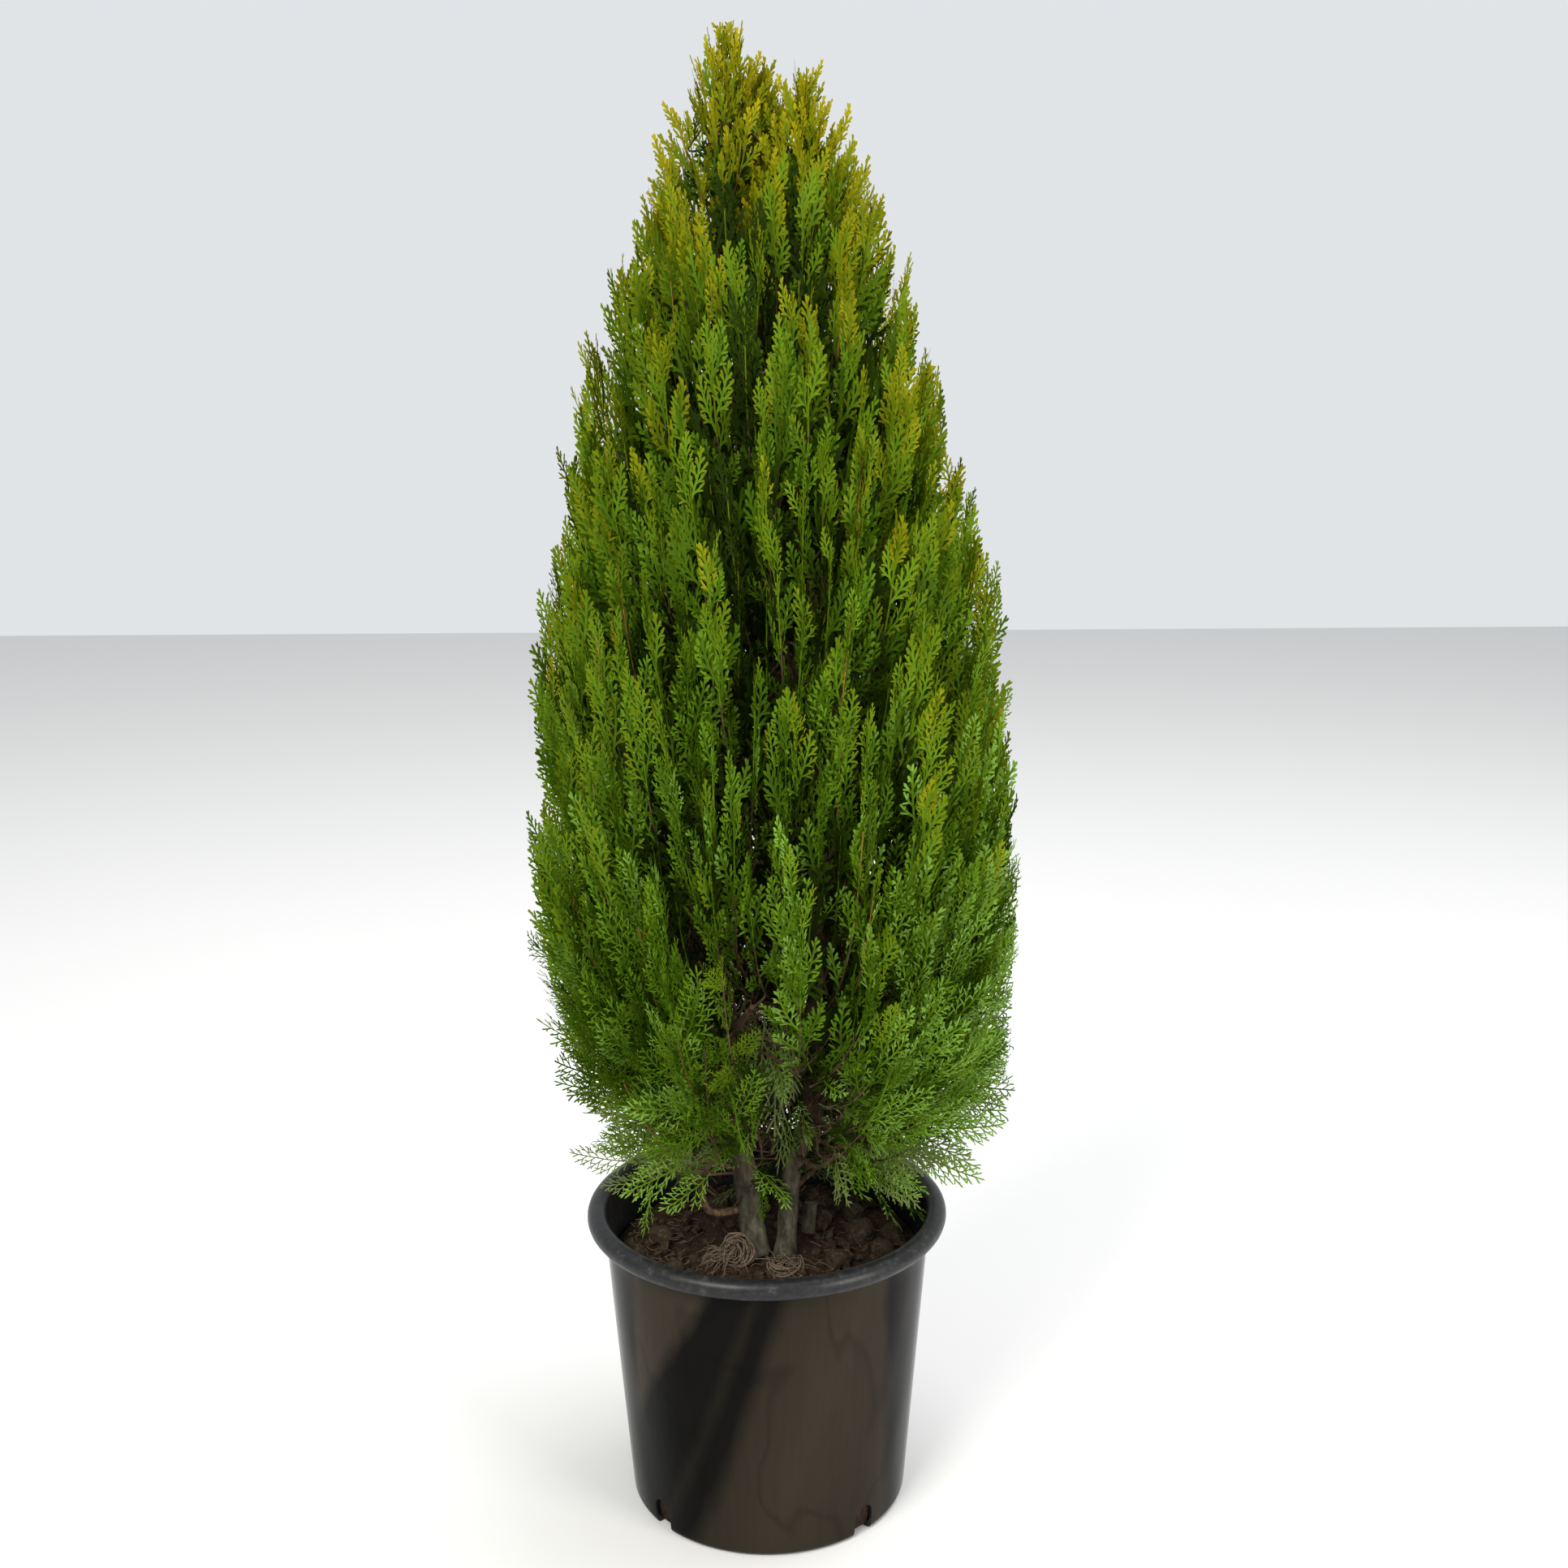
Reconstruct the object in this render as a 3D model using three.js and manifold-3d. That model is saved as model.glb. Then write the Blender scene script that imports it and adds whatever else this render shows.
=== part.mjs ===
// A thuja (arborvitae) in a black nursery pot: two leaning stems that run up through a dense,
// drop-shaped crown of upright, flat sprays. Units are millimetres and +Z is up. The origin is the
// centre of the pot's flat underside, -Y is the front and +X is the right.
import * as THREE from 'three';
import { mergeVertices } from 'three/addons/utils/BufferGeometryUtils.js';
import Module from 'manifold-3d';

const wasm = await Module();
wasm.setup();

// ---- Driving dimensions ----
const GAP = 0.3; // between any two neighbouring pieces
const UP = new THREE.Vector3(0, 0, 1);
const SLAB = 6000; // larger than the whole plant
const GOLDEN_ANGLE = Math.PI * (3 - Math.sqrt(5));

const POT = {
  height: 345, rimRadius: 200, rollRadius: 11, shoulderRadius: 181, footRadius: 155,
  wall: 3, floor: 5, footRound: 8, sides: 44,
  drains: 4, drainTurn: -0.84, drainWidth: 25, drainHeight: 36, drainDepth: 18, drainArch: 16,
};
const SOIL = { level: 285, flatRadius: 74, sides: 24 };

const CROWN = {
  top: 1577, // where the outline closes; the leaders reach it
  foot: 350, // the lowest hanging tips, just over the rim
  radius: 252, // at the widest
  widest: 0.7, // how far down the widest level lies
  shoulder: 1380, // the leaders stand out above this height
  shellTop: 1440, // no spray of a tier ends above this
  drift: 15, // how far the middle of the crown moves to +X on the way down
};

// A spray leans little from the upright at the top and lies nearly level at the foot.
const SPRAY = {
  length: 156, width: 84, thickness: 2.8, count: 205, smallest: 0.5,
  leans: [[340, 1.5], [430, 1.2], [560, 0.8], [750, 0.58], [1000, 0.46], [1250, 0.38], [1600, 0.3]],
};
const CORE = { inset: 42, roughness: 13, hollow: 0.24, sectors: 16, step: 84, channelSides: 5 };
const CELL_MARGIN = 0.7; // each mass stops this far from the plane between it and its neighbour
const BOUGH_STAGGER = 22; // neighbouring boughs leave a stem this far apart

// The two stems, from their flat cut on the soil to the tip that carries a leader.
const STEMS = {
  left: {
    path: [[-13, -12, 0], [-16, -11, 25], [-26, -8, 103], [-44, -4, 153], [-60, 0, 205], [-66, 2, 293],
      [-62, 4, 433], [-54, 5, 613], [-47, 3, 813], [-41, 2, 993], [-38, 0, 1130]],
    footRadius: 14.5, tipRadius: 2.8, flare: 4,
  },
  right: {
    path: [[20, -16, 0], [22, -15, 25], [29, -13, 98], [44, -8, 143], [52, -3, 213], [54, 0, 293],
      [56, 2, 433], [54, 4, 613], [48, 4, 813], [43, 3, 973], [42, 2, 1110]],
    footRadius: 11.5, tipRadius: 2.6, flare: 3,
  },
};

// The lowest foliage is open at the front, so that the stems show.
const OPEN_FRONT = { bearing: -1.42, halfWidth: 0.36, height: 452 };

// Two dried coils of root that lie on the soil in front of the stems.
const ROOT_COILS = {
  left: { at: [-36, -40], lift: 17, size: [23, 19, 19], seed: 61 },
  right: { at: [20, -58], lift: 8, size: [26, 16, 12], seed: 62 },
};

// Each tier is a ring of masses. turn is the first mass's bearing in parts of the tier's step, and
// the planes between tiers rise outwards by slope.
const TIERS = [
  { name: 'skirt', height: 425, count: 7, turn: 0.75, reach: 0.62, slope: 0.35, bough: true },
  { name: 'lower', height: 600, count: 7, turn: 0.1, reach: 0.62, slope: 0.9, bough: true },
  { name: 'middle', height: 810, count: 5, turn: 0.25, reach: 0.6, slope: 1.3, bough: true },
  { name: 'upper', height: 1020, count: 5, turn: 0.75, reach: 0.6, slope: 1.5, bough: false },
  { name: 'top', height: 1215, count: 3, turn: 0.25, reach: 0.55, slope: 1.6, bough: false },
];
// Boughs that are seen in the open front and at the foot: where each leaves its stem, and its way.
const COURSES = {
  skirt_5: { root: 338, way: [[-62, -20, 338], [-72, -34, 376]] },
  skirt_7: { root: 378, way: [[63, -14, 398], [87, -20, 424]] },
  lower_5: { root: 455, way: [[-84, -26, 481], [-127, -58, 512]] },
  lower_7: { root: 460, way: [[70, -34, 500], [104, -66, 572]] },
};
// The leaders stand on the stems' tips, and the middle one grows from the left stem.
const LEADERS = [
  { name: 'leader_left', axis: [-38, 0], apex: 1577, spread: 85, stem: 'left', own: true },
  { name: 'leader_middle', axis: [3, 22], apex: 1533, spread: 60, stem: 'left', from: 1300, own: false },
  { name: 'leader_right', axis: [44, 0], apex: 1538, spread: 78, stem: 'right', own: true },
];

const COLORS = {
  pot: 0x1c1b19, soil: 0x3a2b20, bark: 0x6b5a4a, twig: 0x7a5236, root: 0x8a7458,
  gold: 0xa39a1e, lime: 0x6d9a1f, green: 0x4a7d22, shade: 0x43682b,
};

// ---- Small tools ----
function seeded(seed) {
  let state = seed >>> 0;
  return () => {
    state = (Math.imul(state, 1664525) + 1013904223) >>> 0;
    return state / 4294967296;
  };
}

const clamp = (x, low, high) => Math.min(Math.max(x, low), high);

// The value at x on a line through [x, value] pairs.
function valueAt(pairs, x) {
  const next = pairs.findIndex(([at]) => at > x);
  if (next === 0) return pairs[0][1];
  if (next < 0) return pairs[pairs.length - 1][1];
  const [[x0, v0], [x1, v1]] = [pairs[next - 1], pairs[next]];
  return v0 + (v1 - v0) * ((x - x0) / (x1 - x0));
}

function solidOf(geometry) {
  const bare = new THREE.BufferGeometry().setAttribute('position', geometry.getAttribute('position'));
  bare.setIndex(geometry.index);
  const merged = mergeVertices(bare, 1e-4);
  return new wasm.Manifold(new wasm.Mesh({
    numProp: 3,
    vertProperties: merged.attributes.position.array,
    triVerts: new Uint32Array(merged.index.array),
  }));
}

function geometryOf(solid) {
  const mesh = solid.getMesh();
  const geometry = new THREE.BufferGeometry();
  geometry.setAttribute('position', new THREE.BufferAttribute(new Float32Array(mesh.vertProperties), 3));
  geometry.setIndex(new THREE.BufferAttribute(new Uint32Array(mesh.triVerts), 1));
  geometry.computeVertexNormals();
  return geometry;
}

// The shape with its points shared between neighbouring faces.
function bareShape(geometry) {
  return mergeVertices(geometry.deleteAttribute('normal').deleteAttribute('uv'), 1e-4);
}

function largestBody(solid) {
  const bodies = solid.decompose();
  return bodies.reduce((best, body) => (body.volume() > best.volume() ? body : best));
}

function boxesMeet(a, b) {
  return [0, 1, 2].every((i) => a.min[i] <= b.max[i] && b.min[i] <= a.max[i]);
}

// Everything past the plane n.p = offset, as far as the plant can reach.
function pastPlane({ normal, offset }) {
  const slab = new THREE.BoxGeometry(SLAB, SLAB, SLAB).translate(0, 0, SLAB / 2);
  slab.applyQuaternion(new THREE.Quaternion().setFromUnitVectors(UP, normal));
  const at = normal.clone().multiplyScalar(offset);
  return solidOf(bareShape(slab.translate(at.x, at.y, at.z)));
}

// A closed round body through rings of points, with a flat cap at each end.
function skinOverRings(rings) {
  const sides = rings[0].length;
  const points = rings.flat();
  const index = [];
  for (let r = 0; r + 1 < rings.length; r++) {
    for (let i = 0; i < sides; i++) {
      const a = r * sides + i;
      const b = r * sides + ((i + 1) % sides);
      index.push(a, b, b + sides, a, b + sides, a + sides);
    }
  }
  const last = (rings.length - 1) * sides;
  for (let i = 1; i + 1 < sides; i++) {
    index.push(0, i + 1, i);
    index.push(last, last + i, last + i + 1);
  }
  const geometry = new THREE.BufferGeometry().setFromPoints(points);
  geometry.setIndex(index);
  return geometry;
}

// One tapering limb along a curve. radiusAt gives the radius at a share of its length.
function limb(curve, radiusAt, { sides, steps, from = 0, to = 1, flatFoot = false, grow = 0 }) {
  const side = new THREE.Vector3(1, 0, 0);
  const rings = [];
  for (let s = 0; s <= steps; s++) {
    const t = from + (to - from) * (s / steps);
    const centre = curve.getPointAt(t);
    const along = flatFoot && s === 0 ? UP.clone() : curve.getTangentAt(t);
    side.addScaledVector(along, -side.dot(along)).normalize();
    const across = new THREE.Vector3().crossVectors(along, side);
    const radius = radiusAt(t) + grow;
    const ring = [];
    for (let i = 0; i < sides; i++) {
      const turn = (i / sides) * 2 * Math.PI;
      ring.push(centre.clone()
        .addScaledVector(side, radius * Math.cos(turn))
        .addScaledVector(across, radius * Math.sin(turn)));
    }
    rings.push(ring);
  }
  return skinOverRings(rings);
}

// A round lump with an uneven skin, for clods and coils of root. It is cut flat at its floor.
function lump(centre, size, detail, roughness, seed, floor = -Infinity) {
  const random = seeded(seed);
  const shape = bareShape(new THREE.IcosahedronGeometry(1, detail));
  const at = shape.getAttribute('position');
  for (let i = 0; i < at.count; i++) {
    const swell = 1 + roughness * (2 * random() - 1);
    at.setXYZ(i, centre[0] + at.getX(i) * size[0] * swell, centre[1] + at.getY(i) * size[1] * swell,
      Math.max(centre[2] + at.getZ(i) * size[2] * swell, floor));
  }
  return shape;
}

// ---- Pot and soil ----
const shoulderHeight = POT.height - 2 * POT.rollRadius;

function wallRadius(height) {
  return POT.footRadius + (POT.shoulderRadius - POT.footRadius) * (height / shoulderHeight);
}

function potGeometry() {
  const rollCentre = new THREE.Vector2(POT.rimRadius - POT.rollRadius, POT.height - POT.rollRadius);
  const profile = [new THREE.Vector2(0, 0), new THREE.Vector2(POT.footRadius - POT.footRound, 0)];
  profile.push(new THREE.Vector2(POT.footRadius - 0.3 * POT.footRound, 0.3 * POT.footRound));
  profile.push(new THREE.Vector2(wallRadius(POT.footRound), POT.footRound));
  profile.push(new THREE.Vector2(wallRadius(shoulderHeight), shoulderHeight));
  const rollSteps = 5;
  for (let i = 0; i <= rollSteps; i++) {
    const turn = -0.45 * Math.PI + (i / rollSteps) * 1.4 * Math.PI;
    profile.push(new THREE.Vector2(rollCentre.x + POT.rollRadius * Math.cos(turn),
      rollCentre.y + POT.rollRadius * Math.sin(turn)));
  }
  profile.push(new THREE.Vector2(wallRadius(shoulderHeight) - POT.wall, shoulderHeight - 4));
  profile.push(new THREE.Vector2(wallRadius(POT.floor) - POT.wall, POT.floor));
  profile.push(new THREE.Vector2(0, POT.floor));
  // LatheGeometry turns about Y, so the result is stood up on Z.
  const pot = new THREE.LatheGeometry(profile, POT.sides).rotateX(Math.PI / 2);
  let solid = solidOf(bareShape(pot));
  for (let i = 0; i < POT.drains; i++) {
    const turn = POT.drainTurn + (i / POT.drains) * 2 * Math.PI - Math.PI / 2;
    const arch = new THREE.Shape();
    arch.moveTo(-POT.drainWidth / 2, -1);
    arch.lineTo(POT.drainWidth / 2, -1);
    const spring = POT.drainHeight - POT.drainArch;
    arch.lineTo(POT.drainWidth / 2, spring);
    arch.quadraticCurveTo(POT.drainWidth / 2, POT.drainHeight, 0, POT.drainHeight);
    arch.quadraticCurveTo(-POT.drainWidth / 2, POT.drainHeight, -POT.drainWidth / 2, spring);
    const through = { depth: 2 * POT.drainDepth, bevelEnabled: false, curveSegments: 3 };
    const cutter = new THREE.ExtrudeGeometry(arch, through)
      .rotateX(Math.PI / 2)
      .translate(0, POT.drainDepth, 0)
      .rotateZ(turn + Math.PI / 2)
      .translate(POT.footRadius * Math.cos(turn), POT.footRadius * Math.sin(turn), 0);
    solid = solid.subtract(solidOf(bareShape(cutter)));
  }
  return geometryOf(solid);
}

// The soil's top is level where the stems stand and uneven outside that.
function soilHeight(x, y) {
  const radius = Math.hypot(x, y);
  if (radius <= SOIL.flatRadius) return SOIL.level;
  const away = clamp((radius - SOIL.flatRadius) / 60, 0, 1);
  const waves = 4 * Math.sin(x / 23 + 1) * Math.cos(y / 19) + 3 * Math.sin((x - y) / 13);
  return SOIL.level + away * (waves - 0.035 * x + 2);
}

function soilGeometry() {
  const rings = [];
  const ring = (radius, height) => {
    const points = [];
    for (let i = 0; i < SOIL.sides; i++) {
      const turn = (i / SOIL.sides) * 2 * Math.PI;
      const x = radius * Math.cos(turn);
      const y = radius * Math.sin(turn);
      points.push(new THREE.Vector3(x, y, height ?? soilHeight(x, y)));
    }
    rings.push(points);
  };
  // The soil's flat sides lie inside the pot's wall.
  const inside = (height) => (wallRadius(height) - POT.wall) * Math.cos(Math.PI / POT.sides) - 2 * GAP;
  ring(inside(POT.floor), POT.floor + GAP);
  ring(inside(SOIL.level - 20), SOIL.level - 20);
  ring(inside(SOIL.level - 8));
  for (const radius of [150, 124, 98, SOIL.flatRadius]) ring(radius);
  let solid = solidOf(skinOverRings(rings));
  const clods = [
    [[96, -62, 288], [24, 17, 13]], [[62, -104, 284], [18, 14, 10]], [[112, -8, 286], [20, 22, 12]],
    [[-96, -52, 286], [20, 16, 10]], [[-118, 22, 290], [18, 20, 10]], [[20, 112, 290], [26, 18, 12]],
  ];
  clods.forEach(([centre, size], i) => {
    solid = solid.add(solidOf(lump(centre, size, 0, 0.16, 40 + i)));
  });
  return geometryOf(solid);
}

// ---- The crown's outline ----
// Radius of the crown at a height: it swells quickly below the top and draws in at the foot.
function crownRadius(height) {
  const down = clamp((CROWN.top - height) / (CROWN.top - CROWN.foot), 0, 1);
  if (down <= CROWN.widest) return CROWN.radius * (1 - (1 - down / CROWN.widest) ** 2) ** 0.75;
  return CROWN.radius * (1 - ((down - CROWN.widest) / 0.42) ** 2) ** 0.55;
}

function crownMiddle(height) {
  return CROWN.drift * clamp((CROWN.top - height) / (CROWN.top - CROWN.foot), 0, 1);
}

function leaderRadius(leader, height) {
  const drop = leader.apex - height;
  return leader.spread * (Math.max(drop, 0) / (leader.apex - CROWN.shoulder)) ** 0.62;
}

// ---- Limbs ----
function stemCurve(stem) {
  const ground = SOIL.level + GAP;
  return new THREE.CatmullRomCurve3(stem.path.map(([x, y, z]) => new THREE.Vector3(x, y, z + ground)));
}

function stemRadius(stem, share) {
  const taper = stem.tipRadius + (stem.footRadius - stem.tipRadius) * (1 - share) ** 0.95;
  return taper + stem.flare * Math.exp(-share / 0.012);
}

function pointAtHeight(curve, height) {
  let low = 0;
  let high = 1;
  for (let i = 0; i < 30; i++) {
    const middle = (low + high) / 2;
    if (curve.getPointAt(middle).z < height) low = middle;
    else high = middle;
  }
  return curve.getPointAt(low);
}

// A limb stops short of its curve's end, and the fattened limb that keeps others clear doesn't.
const stems = {};
for (const [side, stem] of Object.entries(STEMS)) {
  const curve = stemCurve(stem);
  const radius = (t) => stemRadius(stem, t);
  const shape = { sides: 8, steps: 20, flatFoot: true };
  const geometry = limb(curve, radius, { ...shape, to: 1 - GAP / curve.getLength() });
  const fat = solidOf(limb(curve, radius, { ...shape, grow: GAP + 0.15 }));
  const channel = solidOf(limb(curve, (t) => 1.3 * radius(t) + 2, { sides: CORE.channelSides, steps: 11 }));
  stems[side] = { curve, geometry, fat, channel };
}

// ---- Masses: where each one is, and which stem carries it ----
const masses = [];
for (const tier of TIERS) {
  for (let i = 0; i < tier.count; i++) {
    const bearing = ((i + tier.turn) / tier.count) * 2 * Math.PI;
    const outward = new THREE.Vector3(Math.cos(bearing), Math.sin(bearing), 0);
    const reach = tier.reach * crownRadius(tier.height);
    const seat = new THREE.Vector3(crownMiddle(tier.height), 0, tier.height);
    seat.addScaledVector(outward, reach);
    const side = outward.x < -0.05 ? 'left' : 'right';
    const below = masses.filter((other) => other.tier === tier && other.side === side).length;
    const stagger = BOUGH_STAGGER * (below - 1);
    const seed = masses.length + 1;
    const name = `${tier.name}_${i + 1}`;
    masses.push({ name, tier, outward, seat, side, stagger, seed, slope: tier.slope });
  }
}
for (const leader of LEADERS) {
  const height = CROWN.shoulder + 0.38 * (leader.apex - CROWN.shoulder);
  const seat = new THREE.Vector3(leader.axis[0], leader.axis[1], height);
  const seed = masses.length + 1;
  masses.push({ name: leader.name, leader, seat, side: leader.stem, seed, slope: 1.6 });
}

// The plane that keeps masses a and b apart, seen from a: points of a have n.p <= d.
function planeBetween(a, b) {
  const middle = a.seat.clone().add(b.seat).multiplyScalar(0.5);
  const normal = b.seat.clone().sub(a.seat);
  const outward = new THREE.Vector3(middle.x - crownMiddle(middle.z), middle.y, 0);
  const weight = clamp(outward.length() / 60, 0, 1) * 0.5 * (a.slope + b.slope);
  if (outward.length() > 1e-6) outward.normalize();
  normal.addScaledVector(outward, -weight * normal.z);
  normal.normalize();
  return { normal, offset: normal.dot(middle) - CELL_MARGIN };
}

for (const mass of masses) {
  mass.planes = masses.filter((other) => other !== mass).map((other) => planeBetween(mass, other));
  if (mass.tier) {
    // The middle of the crown is left to the stems and boughs.
    const heart = new THREE.Vector3(crownMiddle(mass.seat.z), 0, mass.seat.z);
    const inner = CORE.hollow * crownRadius(mass.seat.z);
    mass.planes.push({ normal: mass.outward.clone().negate(), offset: -mass.outward.dot(heart) - inner });
  }
}

function inCell(mass, point) {
  return mass.planes.every(({ normal, offset }) => normal.dot(point) <= offset);
}

// ---- Boughs, each one curve that the mass's own stem carries on ----
function boughCurve(mass) {
  const { curve } = stems[mass.side];
  if (mass.leader) {
    const root = mass.leader.own ? curve.getPointAt(1) : pointAtHeight(curve, mass.leader.from);
    const tip = new THREE.Vector3(mass.leader.axis[0], mass.leader.axis[1], mass.leader.apex - 42);
    const bend = root.clone().lerp(tip, 0.4).setX(root.x + (tip.x - root.x) * 0.8);
    return new THREE.CatmullRomCurve3([root, bend, tip]);
  }
  const end = mass.seat.clone().addScaledVector(mass.outward, 18).add(new THREE.Vector3(0, 0, 30));
  const course = COURSES[mass.name];
  if (course) {
    const way = course.way.map((point) => new THREE.Vector3(...point));
    return new THREE.CatmullRomCurve3([pointAtHeight(curve, course.root), ...way, end]);
  }
  const reach = Math.hypot(mass.seat.x - crownMiddle(mass.seat.z), mass.seat.y);
  const rise = (0.35 + 0.6 * mass.slope) * (reach - 45);
  const root = pointAtHeight(curve, mass.seat.z - rise + mass.stagger);
  const middle = root.clone().lerp(end, 0.5);
  middle.z -= 0.1 * root.distanceTo(end);
  return new THREE.CatmullRomCurve3([root, middle, end]);
}

const boughs = [];
for (const mass of masses) {
  mass.curve = boughCurve(mass);
  const length = mass.curve.getLength();
  const thick = mass.leader ? 2.8 : 2.2 + 0.022 * length;
  mass.radiusAt = (t) => thick * (1 - 0.55 * t);
  mass.boughEnd = 0;
  if (mass.tier?.bough) {
    mass.boughEnd = 0.56;
    const shape = { sides: 6, steps: 5, to: mass.boughEnd - GAP / length };
    const fat = solidOf(limb(mass.curve, mass.radiusAt, { ...shape, to: mass.boughEnd, grow: GAP + 0.15 }));
    const solid = solidOf(limb(mass.curve, mass.radiusAt, shape)).subtract(stems[mass.side].fat);
    boughs.push({ name: `bough_${mass.name}`, solid: largestBody(solid), fat });
  }
  // The mass's own stem carries the bough on, or comes straight off the stem.
  const shape = { sides: 3, steps: 4, from: mass.boughEnd };
  const twig = (grow) => solidOf(limb(mass.curve, (t) => 0.9 * mass.radiusAt(t), { ...shape, grow }));
  mass.twig = twig(0);
  mass.fatTwig = twig(2 * (GAP + 0.15));
}

// ---- Cores and sprays ----
// The dense body of the crown, rough all over, that the masses' cores are cut from.
function crownBody() {
  const random = seeded(77);
  const rings = [];
  for (let height = CROWN.foot + 40; height < CROWN.shellTop; height += CORE.step) {
    const ring = [];
    for (let i = 0; i < CORE.sectors; i++) {
      const turn = ((i + 0.5 * (rings.length % 2)) / CORE.sectors) * 2 * Math.PI;
      const fromFront = Math.acos(clamp(Math.cos(turn - OPEN_FRONT.bearing), -1, 1));
      const rise = clamp((height - CROWN.foot) / 220, 0, 1);
      const skirt = rise + (1 - rise) * (fromFront < 2 * OPEN_FRONT.halfWidth ? 0.1 : 0.6);
      const radius = skirt * (crownRadius(height) - CORE.inset + CORE.roughness * (2 * random() - 1));
      const lift = 0.35 * CORE.step * (random() - 0.5);
      ring.push(new THREE.Vector3(crownMiddle(height) + radius * Math.cos(turn), radius * Math.sin(turn),
        height + lift));
    }
    rings.push(ring);
  }
  let solid = solidOf(skinOverRings(rings));
  for (const leader of LEADERS) {
    const spire = [];
    for (let height = CROWN.shoulder - 60; height < leader.apex - 24; height += 44) {
      const ring = [];
      for (let i = 0; i < 6; i++) {
        const turn = (i / 6) * 2 * Math.PI;
        const radius = 0.6 * leaderRadius(leader, height + 20) * (0.85 + 0.3 * random());
        ring.push(new THREE.Vector3(leader.axis[0] + radius * Math.cos(turn),
          leader.axis[1] + radius * Math.sin(turn), height));
      }
      spire.push(ring);
    }
    solid = solid.add(solidOf(skinOverRings(spire)));
  }
  return solid;
}

function reachPast(box, { normal, offset }) {
  const corner = [0, 1, 2].map((i) => (normal.getComponent(i) > 0 ? box.max[i] : box.min[i]));
  return normal.dot(new THREE.Vector3(...corner)) > offset;
}

function coreSolid(mass) {
  let solid = body;
  for (const plane of mass.planes) {
    if (reachPast(solid.boundingBox(), plane)) solid = solid.subtract(pastPlane(plane));
  }
  return largestBody(solid.subtract(stems.left.channel).subtract(stems.right.channel));
}

// A flat spray: a toothed fan with a sharp edge all round and a raised rib on each face.
const TEETH = [[0.38, 0.42], [0.5, 0.2], [0.7, 0.47], [0.74, 0.17]];

function sprayGeometry(base, forward, across, length, width, random) {
  const face = new THREE.Vector3().crossVectors(forward, across);
  const place = (u, v, w) => base.clone()
    .addScaledVector(forward, u * length)
    .addScaledVector(across, v * width)
    .addScaledVector(face, w * SPRAY.thickness);
  const vary = () => 0.85 + 0.3 * random();
  const rim = [place(0, 0, 0)];
  for (const [u, v] of TEETH) rim.push(place(u, v * vary(), 0));
  rim.push(place(1, 0, 0));
  for (const [u, v] of TEETH.slice().reverse()) rim.push(place(u, -v * vary(), 0));
  const points = [...rim, place(0.5, 0, 0.5), place(0.5, 0, -0.5)];
  const index = [];
  for (let i = 0; i < rim.length; i++) {
    const next = (i + 1) % rim.length;
    index.push(i, next, rim.length + 1, next, i, rim.length);
  }
  const geometry = new THREE.BufferGeometry().setFromPoints(points);
  geometry.setIndex(index);
  return { geometry, points };
}

// Tips spread evenly over the outline, each further round by the golden angle.
function crownTips(count) {
  const levels = 400;
  const step = (CROWN.shellTop - CROWN.foot) / levels;
  const area = [0];
  for (let i = 0; i < levels; i++) area.push(area[i] + crownRadius(CROWN.foot + (i + 0.5) * step));
  return Array.from({ length: count }, (_, k) => {
    const level = area.findIndex((sum) => sum >= ((k + 0.5) / count) * area[levels]) - 1;
    return { height: CROWN.foot + (level + 0.5) * step, bearing: k * GOLDEN_ANGLE };
  });
}

function isOpenGap(height, bearing) {
  const fromFront = Math.acos(clamp(Math.cos(bearing - OPEN_FRONT.bearing), -1, 1));
  return height < OPEN_FRONT.height && fromFront < OPEN_FRONT.halfWidth;
}

// A spray that would leave its mass's space or touch a limb is turned, then made smaller, then
// left out.
function addSpray(mass, tip, outward, random, size) {
  const lean = valueAt(SPRAY.leans, tip.z) * (mass.leader ? 0.8 : 1);
  const forward = UP.clone().multiplyScalar(Math.cos(lean)).addScaledVector(outward, Math.sin(lean));
  const twist = (random() - 0.5) * 1.4;
  for (let scale = size; scale >= SPRAY.smallest * size; scale *= 0.84) {
    for (const turn of [twist, -twist, twist + 0.9, twist - 0.9]) {
      const length = SPRAY.length * scale;
      const base = tip.clone().addScaledVector(forward, -length);
      const across = new THREE.Vector3().crossVectors(forward, outward).normalize();
      across.applyAxisAngle(forward, Math.PI / 2 + turn);
      const width = SPRAY.width * scale;
      const { geometry, points } = sprayGeometry(base, forward, across, length, width, random);
      if (points.some((corner) => !inCell(mass, corner) || corner.z < CROWN.foot)) continue;
      const solid = solidOf(geometry);
      const box = solid.boundingBox();
      const touches = (fat) => boxesMeet(box, fat.boundingBox()) && fat.intersect(solid).volume() > 0;
      if (limbsNear(mass).some(touches)) continue;
      mass.sprays.push(solid);
      return;
    }
  }
}

const body = crownBody();
const woody = [stems.left.fat, stems.right.fat, ...boughs.map((bough) => bough.fat)];
const limbsNear = (mass) => {
  const others = masses.filter((other) => other !== mass);
  return [...woody, ...others.map((other) => other.fatTwig)];
};
for (const mass of masses) mass.sprays = [];

crownTips(SPRAY.count).forEach(({ height, bearing }, k) => {
  const random = seeded(5000 + k);
  if (isOpenGap(height, bearing)) return;
  const outward = new THREE.Vector3(Math.cos(bearing), Math.sin(bearing), 0);
  const radius = crownRadius(height) * (0.95 + 0.09 * random());
  const tip = new THREE.Vector3(crownMiddle(height), 0, height).addScaledVector(outward, radius);
  const mass = masses.find((candidate) => inCell(candidate, tip));
  if (mass) addSpray(mass, tip, outward, random, 0.85 + 0.3 * random());
});

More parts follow.
